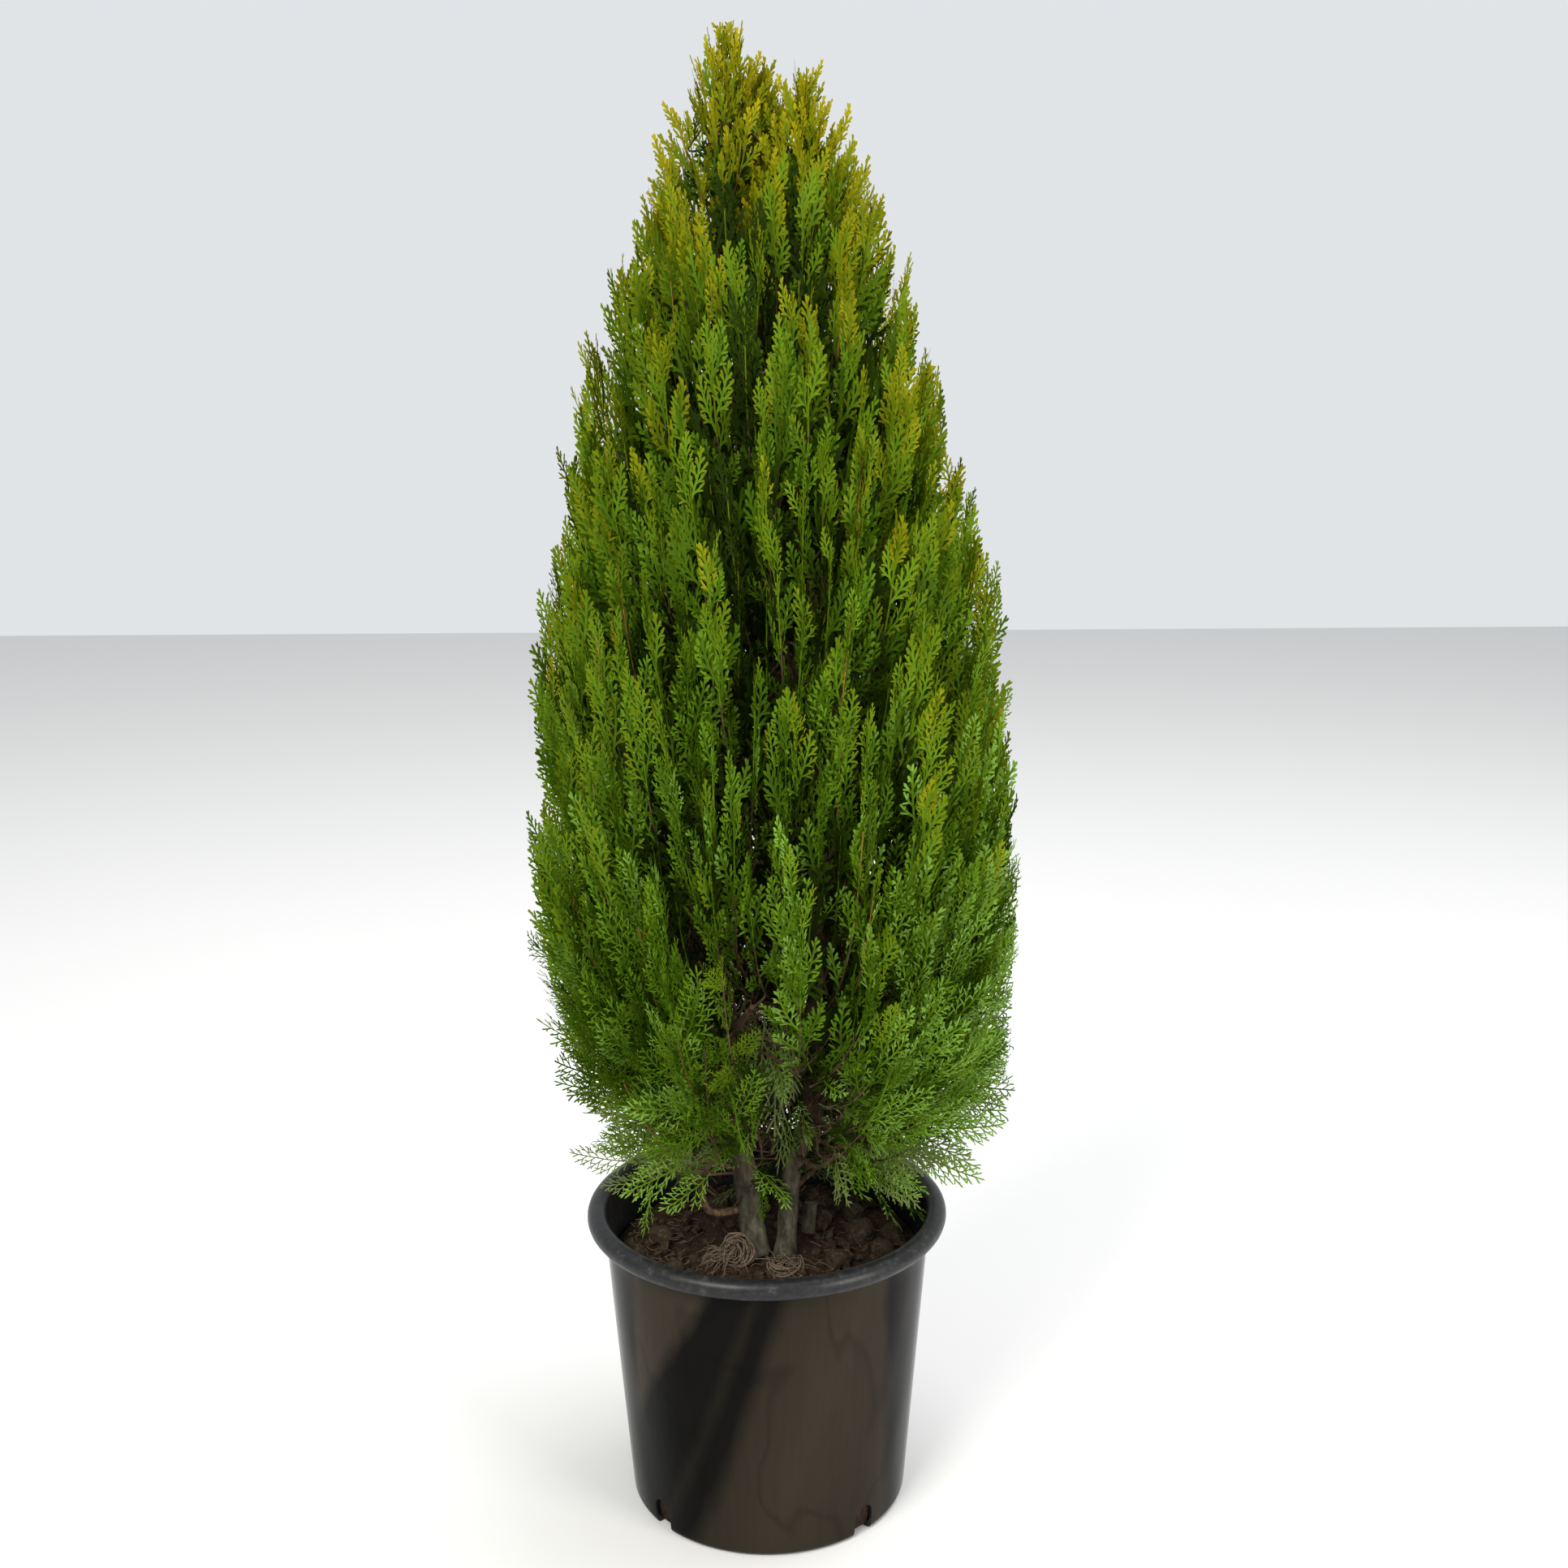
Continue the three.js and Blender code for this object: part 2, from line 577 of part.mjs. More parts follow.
for (const mass of masses.filter((candidate) => candidate.leader)) {
  const { leader } = mass;
  const count = 12;
  for (let k = 0; k < count; k++) {
    const random = seeded(7000 + 100 * mass.seed + k);
    const height = leader.apex - (leader.apex - CROWN.shoulder) * (k / count) ** 1.15;
    const bearing = k * GOLDEN_ANGLE;
    const outward = new THREE.Vector3(Math.cos(bearing), Math.sin(bearing), 0);
    const tip = new THREE.Vector3(leader.axis[0], leader.axis[1], height)
      .addScaledVector(outward, leaderRadius(leader, height));
    addSpray(mass, tip, outward, random, 0.62);
  }
}

function massSolid(mass) {
  let solid = coreSolid(mass).add(mass.twig);
  for (const spray of mass.sprays) solid = solid.add(spray);
  const box = solid.boundingBox();
  for (const fat of limbsNear(mass)) if (boxesMeet(box, fat.boundingBox())) solid = solid.subtract(fat);
  return largestBody(solid);
}

// ---- The whole plant ----
function material(color, roughness) {
  return new THREE.MeshStandardMaterial({ color, roughness, metalness: 0 });
}

const part = new THREE.Group();

function addMesh(name, geometry, surface) {
  const mesh = new THREE.Mesh(geometry, surface);
  mesh.name = name;
  part.add(mesh);
}

const bark = material(COLORS.bark, 0.9);
addMesh('pot', potGeometry(), material(COLORS.pot, 0.3));
addMesh('soil', soilGeometry(), material(COLORS.soil, 1));
addMesh('stem_left', stems.left.geometry, bark);
addMesh('stem_right', stems.right.geometry, bark);
const ground = SOIL.level + GAP;
const stub = new THREE.LineCurve3(new THREE.Vector3(46, 36, ground), new THREE.Vector3(50, 40, ground + 34));
addMesh('stub_right', limb(stub, (t) => 8.5 - 1.5 * t, { sides: 8, steps: 2, flatFoot: true }), bark);
for (const [side, coil] of Object.entries(ROOT_COILS)) {
  const centre = [...coil.at, ground + coil.lift];
  const ball = solidOf(lump(centre, coil.size, 1, 0.08, coil.seed, ground));
  const clear = largestBody(ball.subtract(stems.left.fat).subtract(stems.right.fat));
  addMesh(`root_coil_${side}`, geometryOf(clear), material(COLORS.root, 0.95));
}
for (const bough of boughs) addMesh(bough.name, geometryOf(bough.solid), material(COLORS.twig, 0.9));
for (const mass of masses) {
  const height = mass.seat.z;
  let color = COLORS.green;
  if (height < 500) color = COLORS.shade;
  if (height > 950) color = COLORS.lime;
  if (height > 1150) color = COLORS.gold;
  addMesh(`foliage_${mass.name}`, geometryOf(massSolid(mass)), material(color, 0.7));
}

export default part;
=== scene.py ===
"""A potted thuja: bark, potting soil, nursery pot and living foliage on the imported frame.

The crown grows by one rule. Two stems carry boughs, each bough carries plumes, each plume carries
flat sprays, and each spray is a pinnate fan of scale leaves. Crown sizes are in millimetres, as in
the part's own frame, and MM turns them into metres.
"""
import math

import bpy
import numpy as np
from mathutils import Matrix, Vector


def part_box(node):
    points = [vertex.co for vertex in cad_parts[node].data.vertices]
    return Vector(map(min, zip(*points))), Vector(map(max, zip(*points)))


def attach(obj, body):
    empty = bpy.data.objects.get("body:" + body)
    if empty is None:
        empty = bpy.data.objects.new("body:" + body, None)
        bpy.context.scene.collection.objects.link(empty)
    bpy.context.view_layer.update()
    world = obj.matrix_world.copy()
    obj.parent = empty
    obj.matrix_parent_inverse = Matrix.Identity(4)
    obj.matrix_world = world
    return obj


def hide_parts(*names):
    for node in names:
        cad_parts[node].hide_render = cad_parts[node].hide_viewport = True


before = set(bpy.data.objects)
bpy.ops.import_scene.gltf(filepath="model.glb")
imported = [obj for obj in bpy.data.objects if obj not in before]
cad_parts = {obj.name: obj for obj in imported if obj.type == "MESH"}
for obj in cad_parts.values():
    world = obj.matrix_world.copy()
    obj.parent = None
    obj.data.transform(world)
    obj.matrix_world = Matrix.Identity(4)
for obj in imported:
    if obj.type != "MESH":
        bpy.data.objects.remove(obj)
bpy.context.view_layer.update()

MM = 0.001
FULL_TURN = 2 * math.pi
GOLDEN_ANGLE = math.pi * (3 - math.sqrt(5))
UP = np.array([0.0, 0.0, 1.0])

# ---- The crown's sizes, in millimetres ----
CROWN_TOP = 1577
CROWN_FOOT = 350
CROWN_RADIUS = 252
WIDEST = 0.7
SHOULDER = 1380
SHELL_TOP = 1452
SHELL_FOOT = 428
DRIFT = 15
SOIL_LEVEL = 285
CLEARANCE = 0.3
CELL_MARGIN = 0.7
# The box that no leaf or twig end leaves
BOX_LOW = np.array([-258, -256, 306])
BOX_HIGH = np.array([264, 256, CROWN_TOP + 1])
STEM_POINTS = 260
BOUGH_POINTS = 60

STEMS = {
    "left": dict(
        path=[(-13, -12, 0), (-16, -11, 25), (-26, -8, 103), (-44, -4, 153), (-60, 0, 205), (-66, 2, 293),
              (-62, 4, 433), (-54, 5, 613), (-47, 3, 813), (-41, 2, 993), (-38, 0, 1130)],
        foot=14.5, tip=2.8, flare=4),
    "right": dict(
        path=[(20, -16, 0), (22, -15, 25), (29, -13, 98), (44, -8, 143), (52, -3, 213), (54, 0, 293),
              (56, 2, 433), (54, 4, 613), (48, 4, 813), (43, 3, 973), (42, 2, 1110)],
        foot=11.5, tip=2.6, flare=3),
}
# name, height, count, turn, reach, slope: rings of masses round the stems
TIERS = [
    ("skirt", 425, 7, 0.75, 0.62, 0.35),
    ("lower", 600, 7, 0.10, 0.62, 0.90),
    ("middle", 810, 5, 0.25, 0.60, 1.30),
    ("upper", 1020, 5, 0.75, 0.60, 1.50),
    ("top", 1215, 3, 0.25, 0.55, 1.60),
]
COURSES = {
    "skirt_5": (338, [(-62, -20, 338), (-72, -34, 376)]),
    "skirt_7": (378, [(63, -14, 398), (87, -20, 424)]),
    "lower_5": (455, [(-84, -26, 481), (-127, -58, 512)]),
    "lower_7": (460, [(70, -34, 500), (104, -66, 572)]),
}
# name, axis, apex, spread, stem, height of its root on the stem
LEADERS = [
    ("leader_left", (-38, 0), 1577, 90, "left", 1415),
    ("leader_middle", (3, 22), 1533, 60, "left", 1300),
    ("leader_right", (44, 0), 1538, 78, "right", 1395),
]
BOUGH_STAGGER = 22
# How far a plume leans from the upright, by height
LEANS = ([340, 430, 520, 620, 740, 900, 1100, 1300, 1600],
         [1.30, 1.02, 0.80, 0.54, 0.32, 0.22, 0.17, 0.16, 0.14])
# The crown's plumes stand in upright columns, with dark furrows between them
COLUMNS = 21
FURROW = 24
# How far a plume's sprays open from its axis, by height
OPENINGS = [740, 900, 1050, 1200], [0.68, 0.58, 0.60, 0.70]
# One shoot in so many is tan
TAN_SHOOTS = 11
# Fuller and thinner parts of the outline: bearing in degrees, height, half widths, swell
TUFTS = [
    (180, 893, 30, 24, 16), (180, 828, 32, 34, -22), (180, 766, 32, 26, 13), (180, 678, 32, 26, -20),
    (0, 715, 40, 50, 4), (-4, 600, 45, 60, 6), (-6, 505, 40, 50, 13), (0, 860, 40, 270, 16),
    (0, 806, 36, 60, 12), (0, 965, 36, 36, -26), (0, 1054, 36, 26, -14), (0, 1140, 36, 30, -10),
    (0, 1180, 36, 36, -24), (2, 1270, 40, 60, -8), (0, 1474, 50, 40, -12), (180, 1430, 45, 34, -18),
    (180, 1245, 35, 45, 8), (180, 1110, 35, 60, 4), (186, 474, 58, 56, -86), (-14, 424, 56, 36, -86),
    (-24, 462, 34, 32, -98),
]

# How shaded a layer of plumes is: in the light, behind the first layer, or deep in the crown
LIT, SHADED, DARK = 0.0, 1.2, 2.0
# Above this shade a spray is moss or deep green, and above the next nearly always deep
DIM, GLOOMY = 1, 1.5
# The layers of plumes: how many, how far below the crown's outline, shade, first seed
LAYERS = [(540, 0, LIT, 100), (190, 44, SHADED, 9000), (80, 100, DARK, 14000), (34, 176, DARK, 17000)]
LEADER_PLUMES = 36
LEADER_HEARTS = 10
HANGING_SPRAYS = 110
# Bearings in radians: the open front of the crown's foot, the shaded front, and a bright plume's
OPEN_FRONT, SHADED_FRONT, BRIGHT_FRONT = -1.37, -1.75, -1.73
LOW_LEFT = math.radians(188)


# ---- The crown's outline ----
def crown_radius(height):
    """The crown's smooth outline: a drop, widest low down and round at its foot."""
    down = np.clip((CROWN_TOP - height) / (CROWN_TOP - CROWN_FOOT), 0, 1)
    upper = (1 - (1 - np.minimum(down, WIDEST) / WIDEST) ** 2) ** 0.75
    lower = (1 - (np.maximum(down - WIDEST, 0) / 0.42) ** 2) ** 0.55
    return CROWN_RADIUS * np.where(down <= WIDEST, upper, lower)


def crown_middle(height):
    """The crown drifts a little to the right from its top down."""
    return DRIFT * np.clip((CROWN_TOP - height) / (CROWN_TOP - CROWN_FOOT), 0, 1)


def tufted_radius(height, bearing):
    """The outline with its fuller and thinner parts."""
    radius = crown_radius(height)
    for degrees, level, half_angle, half_height, swell in TUFTS:
        away = math.remainder(bearing - math.radians(degrees), FULL_TURN) / math.radians(half_angle)
        radius = radius + swell * math.exp(-away ** 2 - ((height - level) / half_height) ** 2)
    return radius


def clump(height, bearing):
    """Larger clumps of plumes that stand out and fall back, from -1 to 1."""
    broad = math.sin(3 * bearing + height / 97 + 0.6) * math.sin(height / 61 + 2 * math.sin(2 * bearing))
    return (broad + 0.6 * math.sin(5 * bearing - height / 43 + 1.9)) / 1.6


def column_phase(height, bearing):
    """Nought along the middle of a column of plumes, and half a turn in a furrow."""
    return COLUMNS * bearing + 1.5 * math.sin(height / 150) + 1.1 * math.sin(height / 67 + 2)


def leader_radius(leader, height):
    """The outline of one of the pointed masses at the top."""
    _, _, apex, spread, _, _ = leader
    return spread * (max(apex - height, 0) / (apex - SHOULDER)) ** 0.55


# ---- Curves ----
def unit(v):
    v = np.asarray(v, float)
    return v / max(np.linalg.norm(v), 1e-9)


def level_way(bearing):
    """The level direction at a bearing."""
    return np.array([math.cos(bearing), math.sin(bearing), 0.0])


def swung(a, b, angle):
    """The direction a, swung by an angle towards b."""
    return unit(a * math.cos(angle) + b * math.sin(angle))


def place_on(path, at):
    """The point so many steps along a path, and the step that it lies in."""
    i = min(int(at), len(path) - 2)
    return path[i] + (path[i + 1] - path[i]) * (at - i), i


def smooth_path(knots, count):
    """A centripetal Catmull-Rom curve through the knots, as count evenly spaced points."""
    knots = np.asarray(knots, float)
    ends = [2 * knots[0] - knots[1], *knots, 2 * knots[-1] - knots[-2]]
    fine = []
    for a, b, c, d in zip(ends, ends[1:], ends[2:], ends[3:]):
        ta, tb, tc = (np.linalg.norm(q - p) ** 0.5 for p, q in ((a, b), (b, c), (c, d)))
        into = ((b - a) / ta - (c - a) / (ta + tb) + (c - b) / tb) * tb
        out = ((c - b) / tb - (d - b) / (tb + tc) + (d - c) / tc) * tb
        for s in np.linspace(0, 1, 24, endpoint=False):
            fine.append((2 * s ** 3 - 3 * s ** 2 + 1) * b + (s ** 3 - 2 * s ** 2 + s) * into
                        + (3 * s ** 2 - 2 * s ** 3) * c + (s ** 3 - s ** 2) * out)
    fine = np.array([*fine, knots[-1]])
    gone = np.concatenate([[0], np.cumsum(np.linalg.norm(np.diff(fine, axis=0), axis=1))])
    wanted = np.linspace(0, gone[-1], count)
    return np.stack([np.interp(wanted, gone, fine[:, i]) for i in range(3)], axis=1)


def arc(start, bend, end, count):
    """A quadratic curve from start to end that is pulled towards bend."""
    s = np.linspace(0, 1, count)[:, None]
    return (1 - s) ** 2 * start + 2 * s * (1 - s) * bend + s ** 2 * end


def point_at_height(path, height):
    return path[int(np.argmin(np.abs(path[:, 2] - height)))]


# ---- Stems, masses and boughs, by the same rule as the solids ----
stem_paths = {}
for side, stem in STEMS.items():
    lifted = [(x, y, z + SOIL_LEVEL + CLEARANCE) for x, y, z in stem["path"]]
    stem_paths[side] = smooth_path(lifted, STEM_POINTS)


def stem_radii(stem):
    share = np.linspace(0, 1, STEM_POINTS)
    taper = stem["tip"] + (stem["foot"] - stem["tip"]) * (1 - share) ** 0.95
    return taper + stem["flare"] * np.exp(-share / 0.012)


masses = []
for tier_name, level, count, turn, reach, slope in TIERS:
    on_side = {"left": 0, "right": 0}
    for i in range(count):
        bearing = (i + turn) / count * FULL_TURN
        outward = level_way(bearing)
        seat = np.array([crown_middle(level), 0, level]) + outward * reach * crown_radius(level)
        side = "left" if outward[0] < -0.05 else "right"
        stagger = BOUGH_STAGGER * (on_side[side] - 1)
        on_side[side] += 1
        masses.append(dict(name=f"{tier_name}_{i + 1}", tier=tier_name, seat=seat, slope=slope,
                           outward=outward, side=side, stagger=stagger, leader=None))
for leader in LEADERS:
    name, axis, apex, _, side, _ = leader
    seat = np.array([axis[0], axis[1], SHOULDER + 0.38 * (apex - SHOULDER)], float)
    masses.append(dict(name=name, tier="leader", seat=seat, slope=1.6, outward=None, side=side,
                       stagger=0, leader=leader))


def plane_between(a, b):
    """The plane that parts two masses. It rises outward by the slopes of both."""
    middle = (a["seat"] + b["seat"]) / 2
    normal = b["seat"] - a["seat"]
    outward = np.array([middle[0] - crown_middle(middle[2]), middle[1], 0])
    weight = min(np.linalg.norm(outward) / 60, 1) * 0.5 * (a["slope"] + b["slope"])
    normal = unit(normal - unit(outward) * weight * normal[2])
    return normal, normal @ middle - CELL_MARGIN


for mass in masses:
    planes = [plane_between(mass, other) for other in masses if other is not mass]
    mass["normals"] = np.array([normal for normal, _ in planes])
    mass["offsets"] = np.array([offset for _, offset in planes])


def mass_of(point):
    """The mass whose space the point is in, or is nearest to being in."""
    return min(masses, key=lambda mass: np.max(mass["normals"] @ point - mass["offsets"]))


def bough_path(mass):
    """The course of a mass's bough, from its stem into the mass."""
    stem = stem_paths[mass["side"]]
    if mass["leader"]:
        _, axis, apex, _, _, root_height = mass["leader"]
        root = point_at_height(stem, root_height)
        tip = np.array([axis[0], axis[1], apex - 42], float)
        bend = root + (tip - root) * np.array([0.8, 0.4, 0.4])
        return smooth_path([root, bend, tip], BOUGH_POINTS)
    end = mass["seat"] + mass["outward"] * 18 + UP * 30
    if mass["name"] in COURSES:
        root_height, way = COURSES[mass["name"]]
        return smooth_path([point_at_height(stem, root_height), *way, end], BOUGH_POINTS)
    reach = math.hypot(mass["seat"][0] - crown_middle(mass["seat"][2]), mass["seat"][1])
    rise = (0.35 + 0.6 * mass["slope"]) * (reach - 45)
    root = point_at_height(stem, mass["seat"][2] - rise + mass["stagger"])
    middle = (root + end) / 2 - UP * 0.1 * np.linalg.norm(end - root)
    return smooth_path([root, middle, end], BOUGH_POINTS)


for mass in masses:
    mass["path"] = bough_path(mass)
    length = np.linalg.norm(np.diff(mass["path"], axis=0), axis=1).sum()
    thick = 2.8 if mass["leader"] else (2.2 + 0.022 * length) * (0.72 if mass["tier"] == "skirt" else 1)
    mass["radii"] = thick * (1 - 0.62 * np.linspace(0, 1, BOUGH_POINTS))


# ---- Sprays: flat fans whose branches branch once or twice and end in blunt scaly tips ----
# Each has its length, its longest branch, the spacing and angle of its branches, the half width and
# the length of a tip, and how many times its branches branch
SPRAY_STYLES = {
    "crest": dict(length=60, reach=24, spacing=6.2, half=1.85, tip=10.5, angle=0.50, forks=2),
    "compact": dict(length=62, reach=26, spacing=6.0, half=1.55, tip=9.2, angle=0.62, forks=2),
    "full": dict(length=72, reach=31, spacing=6.3, half=1.35, tip=9.8, angle=0.68, forks=2),
    "lacy": dict(length=102, reach=50, spacing=6.4, half=1.05, tip=11.5, angle=0.84, forks=1),
    "hanging": dict(length=98, reach=50, spacing=8.0, half=0.95, tip=20.0, angle=0.62, forks=2),
    "inner": dict(length=80, reach=36, spacing=9.5, half=2.6, tip=14.0, angle=0.80, forks=2),
}
VARIANTS = 16


def spray_leaves(style, rng):
    """The pieces of one spray, as rows of x0, y0, x1, y1, half width, lift and 1 for a tip."""
    rows = []
    half, tip, spacing = style["half"], style["tip"], style["spacing"]

    def leaf(x, y, heading, length, wide, lift, is_tip):
        end = (x + length * math.cos(heading), y + length * math.sin(heading))
        rows.append((x, y, *end, wide, lift, is_tip))
        return end

    def branch(x, y, heading, length, sign, lift, level):
        gone, flip = 0.0, sign
        while length - gone > 1.15 * tip:
            step = spacing * rng.uniform(0.85, 1.1)
            x, y = leaf(x, y, heading, step, 0.8 * half, lift, 0)
            gone += step
            side = (length - gone) * rng.uniform(0.45, 0.6)
            if level < style["forks"] and side > 1.3 * tip:
                branch(x, y, heading + flip * rng.uniform(0.6, 0.75), side, flip, lift, level + 1)
            else:
                finger = min(1.2 * side, tip) * rng.uniform(0.75, 1.0)
                leaf(x, y, heading + flip * rng.uniform(0.5, 0.7), finger, half, lift, 1)
            heading -= sign * rng.uniform(0.03, 0.08)
            flip = -flip
        leaf(x, y, heading, max(length - gone, 0.8 * tip), half, lift, 1)

    x = y = heading = gone = 0.0
    sign = rng.choice([-1, 1])
    while style["length"] - gone > 1.2 * tip:
        step = spacing * rng.uniform(0.9, 1.1)
        x, y = leaf(x, y, heading, step, 0.9 * half, 0.0, 0)
        gone += step
        share = gone / style["length"]
        shape = 1.75 * (share + 0.04) ** 0.42 * (1 - share) ** 1.05
        length = max(style["reach"] * shape * rng.uniform(0.85, 1.1), 0.9 * tip)
        branch(x, y, heading + sign * style["angle"] * (1 - 0.3 * share), length, sign,
               rng.uniform(-0.3, 0.45), 1)
        sign = -sign
        heading += rng.uniform(-0.05, 0.05)
    leaf(x, y, heading, style["length"] - gone, half, 0.0, 1)
    return np.array(rows)


def leaf_points(rows, shares, sides):
    """The corners of flat leaves, each a share of the way along and so many half widths across."""
    x0, y0, x1, y1, half, lift, _ = rows.T
    dx, dy = x1 - x0, y1 - y0
    length = np.hypot(dx, dy)
    px, py = -dy / length * half, dx / length * half
    rise0, rise1 = lift * np.abs(y0), lift * np.abs(y1)
    corners = [np.stack([x0 + share * dx + side * px, y0 + share * dy + side * py,
                         rise0 + share * (rise1 - rise0)], 1) for share, side in zip(shares, sides)]
    return np.stack(corners, 1)


# A spray's three kinds of leaf, as shares of the way along and half widths across at the corners:
# the strands, the tips inside the spray, and the young tips at its edge
STRAND = (0, 1.02, 1.02, 0), (-0.9, -1, 1, 0.9)
INNER_TIP = (0, 1.0, 1.0, 0), (-0.9, -0.62, 0.62, 0.9)
YOUNG_TIP = (0, 0.78, 1.04, 0.78, 0), (-0.8, -1, 0, 1, 0.8)


def cut_spray(style, rng):
    """One spray as its strands, its inner tips and its young tips."""
    rows = spray_leaves(style, rng)
    is_tip = rows[:, 6] > 0
    far_along = rows[:, 2] > 0.72 * style["length"]
    far_out = np.abs(rows[:, 3]) > 0.68 * style["reach"]
    outer = is_tip & (far_along | far_out)
    return (leaf_points(rows[~is_tip], *STRAND), leaf_points(rows[is_tip & ~outer], *INNER_TIP),
            leaf_points(rows[outer], *YOUNG_TIP))


style_rng = np.random.default_rng(11)
sprays = {name: [cut_spray(style, style_rng) for _ in range(VARIANTS)]
          for name, style in SPRAY_STYLES.items()}


# ---- Plumes ----
# Each spray: style, variant, colour kind, origin, forward, across, normal, size, bend, droop
placed = []
# Each twig: points, radii
twig_paths = []
# Each green end of a twig: colour kind, points, radii
shoots = []


def plume_axis(tip, outward, length, lean, rng, count=9):
    """The plume's axis: it leaves nearly level and turns upright, worked out from the tip down."""
    wander = rng.uniform(-0.22, 0.22)
    sideways = np.cross(UP, outward)
    points = [tip]
    for i in range(count - 1):
        share = i / (count - 2)
        angle = lean * (0.7 + 0.5 * share) + 0.5 * share ** 2
        way = UP * math.cos(angle) + outward * math.sin(angle) + sideways * wander * (0.3 + share) * 0.5
        points.append(points[-1] - unit(way) * length / (count - 1))
    return np.array(points[::-1])


def turned_pair(a, b, angle):
    """Two directions at right angles, turned together by an angle."""
    return a * math.cos(angle) + b * math.sin(angle), b * math.cos(angle) - a * math.sin(angle)


def grow_plume(tip, outward, length, lean, style, rng, shade, droop=0.0, fans=9, spread=1.0, kind=None,
               thick=1.4):
    """One plume: an axis with sprays on either side in one plane, woody at its foot and green above."""
    axis = plume_axis(tip, outward, length, lean, rng)
    woody = len(axis) // 2
    radii = np.linspace(thick, 0.5 * thick, len(axis))
    twig_paths.append((axis[:woody + 1], radii[:woody + 1]))
    # Shoots of plumes deep in the crown are deep green: painted shade.
    green = kind or ("deep" if shade > GLOOMY else "lime" if tip[2] > 1050 else "leaf")
    if shade < DIM and len(twig_paths) % TAN_SHOOTS == 0:
        green = "tan"
    shoots.append((green, axis[woody:], radii[woody:]))
    opening = 0.95 if style == "lacy" else float(np.interp(tip[2], *OPENINGS))
    way = np.diff(axis, axis=0)
    way = way / np.linalg.norm(way, axis=1)[:, None]
    turn = rng.normal(0, 0.75)
    sideways = unit(np.cross(UP, outward))
    side_ref = swung(outward, sideways, turn)
    for k in range(fans + 1):
        share = (k + 0.4) / (fans + 0.4)
        last = k == fans
        at = (1 - 40 * spread / length if last else share) * (len(axis) - 1)
        origin, i = place_on(axis, at)
        along = way[i]
        sign = 1 if k % 2 else -1
        side = unit(side_ref - along * (side_ref @ along)) * sign
        normal = np.cross(along, side)
        if last:
            angle, roll, size = rng.uniform(-0.1, 0.1), rng.uniform(-0.3, 0.3), 0.86
        else:
            angle = opening * (1 - 0.54 * share) + rng.uniform(-0.12, 0.12) + 0.2 * droop
            roll = rng.normal(0, 0.25) + (rng.choice([-1.2, 1.2]) if k % 4 == 2 else 0)
            size = (0.74 + 1.1 * share * (1 - share) - 0.14 * share) * rng.uniform(0.85, 1.12)
        side = swung(side, normal, roll)
        normal = unit(np.cross(along, side))
        forward = swung(along, side, angle)
        across = unit(np.cross(normal, forward))
        if across @ along < 0:
            across, normal = -across, -normal
        across, normal = turned_pair(across, normal, rng.normal(0, 0.22))
        deal = kind or colour_of(origin, share, shade, rng)
        bend = 0.0035 * (1 - droop) * rng.uniform(0.5, 1.5)
        placed.append((style, int(rng.integers(VARIANTS)), deal, origin, forward, across, normal,
                       size * spread, bend, droop * rng.uniform(0.6, 1.3)))
    return axis


# The colour kinds of a spray's strands and inner tips, by the kind of its young tips
OLDER = {"gold": ("olive", "olive"), "olive": ("lime", "olive"), "lime": ("leaf", "lime"),
         "leaf": ("moss", "leaf"), "fresh": ("leaf", "fresh"), "dull": ("dull", "dull"),
         "moss": ("moss", "moss"), "deep": ("deep", "deep"), "tan": ("tan", "tan")}


def colour_of(origin, share, shade, rng):
    """A spray's colour kind: gold at the top and on plume tips, fresh low right, dull inside."""
    x, y, z = origin
    # Shaded sprays get moss or deep green, the deep more often towards the front, and less gold: painted
    # shade.
    if shade > GLOOMY:
        return "deep" if rng.random() < 0.85 else "leaf"
    if shade > DIM:
        return "deep" if rng.random() < 0.35 - 0.55 * y / math.hypot(x, y) else "moss"
    gold = np.interp(z, [500, 800, 1100, 1350, 1520], [-0.10, 0.10, 0.28, 0.47, 0.70])
    gold += 0.42 * (share - 0.5) + rng.normal(0, 0.12) - 0.3 * shade
    if gold > 0.74:
        return "gold"
    if gold > 0.45:
        return "olive"
    if gold > 0.16:
        return "lime"
    if z < 560 and math.hypot(x - 10, y) < 130 and rng.random() < 0.7:
        return "dull"
    fresh_low = np.interp(z, [350, 600, 780, 1000], [1, 0.9, 0.6, 0.05])
    if rng.random() < np.interp(x, [-150, 60, 200], [0.10, 0.35, 0.8]) * fresh_low:
        return "fresh" if z < 900 else "leaf"
    return "leaf" if rng.random() < 0.7 else "moss"


def join_to_bough(mass, base, next_point, thick, nearest=0.25):
    """A twig from the mass's bough out to the foot of a plume."""
    path = mass["path"]
    first = int(nearest * len(path))
    lower = path[first:, 2] < base[2] + 20
    gap = np.linalg.norm(path[first:] - base, axis=1) + np.where(lower, 0, 80)
    start = path[first + int(np.argmin(gap))]
    pull = base - unit(next_point - base) * 0.45 * np.linalg.norm(base - start)
    twig_paths.append((arc(start, pull, base, 7), np.linspace(thick * 1.25, thick, 7)))


def away_from(bearing, other):
    """The angle between two bearings."""
    return abs(math.remainder(bearing - other, FULL_TURN))


def open_front(height, bearing):
    """The foot of the crown is open at the front, where the stems show, and low on the left."""
    foot = 430 + 105 * max(-math.sin(bearing), 0) ** 0.6
    in_front = away_from(bearing, OPEN_FRONT) < np.interp(height, [520, 730, 731], [0.34, 0.12, 0])
    low_left = height < 520 and away_from(bearing, LOW_LEFT) < 0.36
    by_bright_plume = away_from(bearing, BRIGHT_FRONT) < 0.15 and 600 < height < 770
    return height < foot or in_front or low_left or by_bright_plume


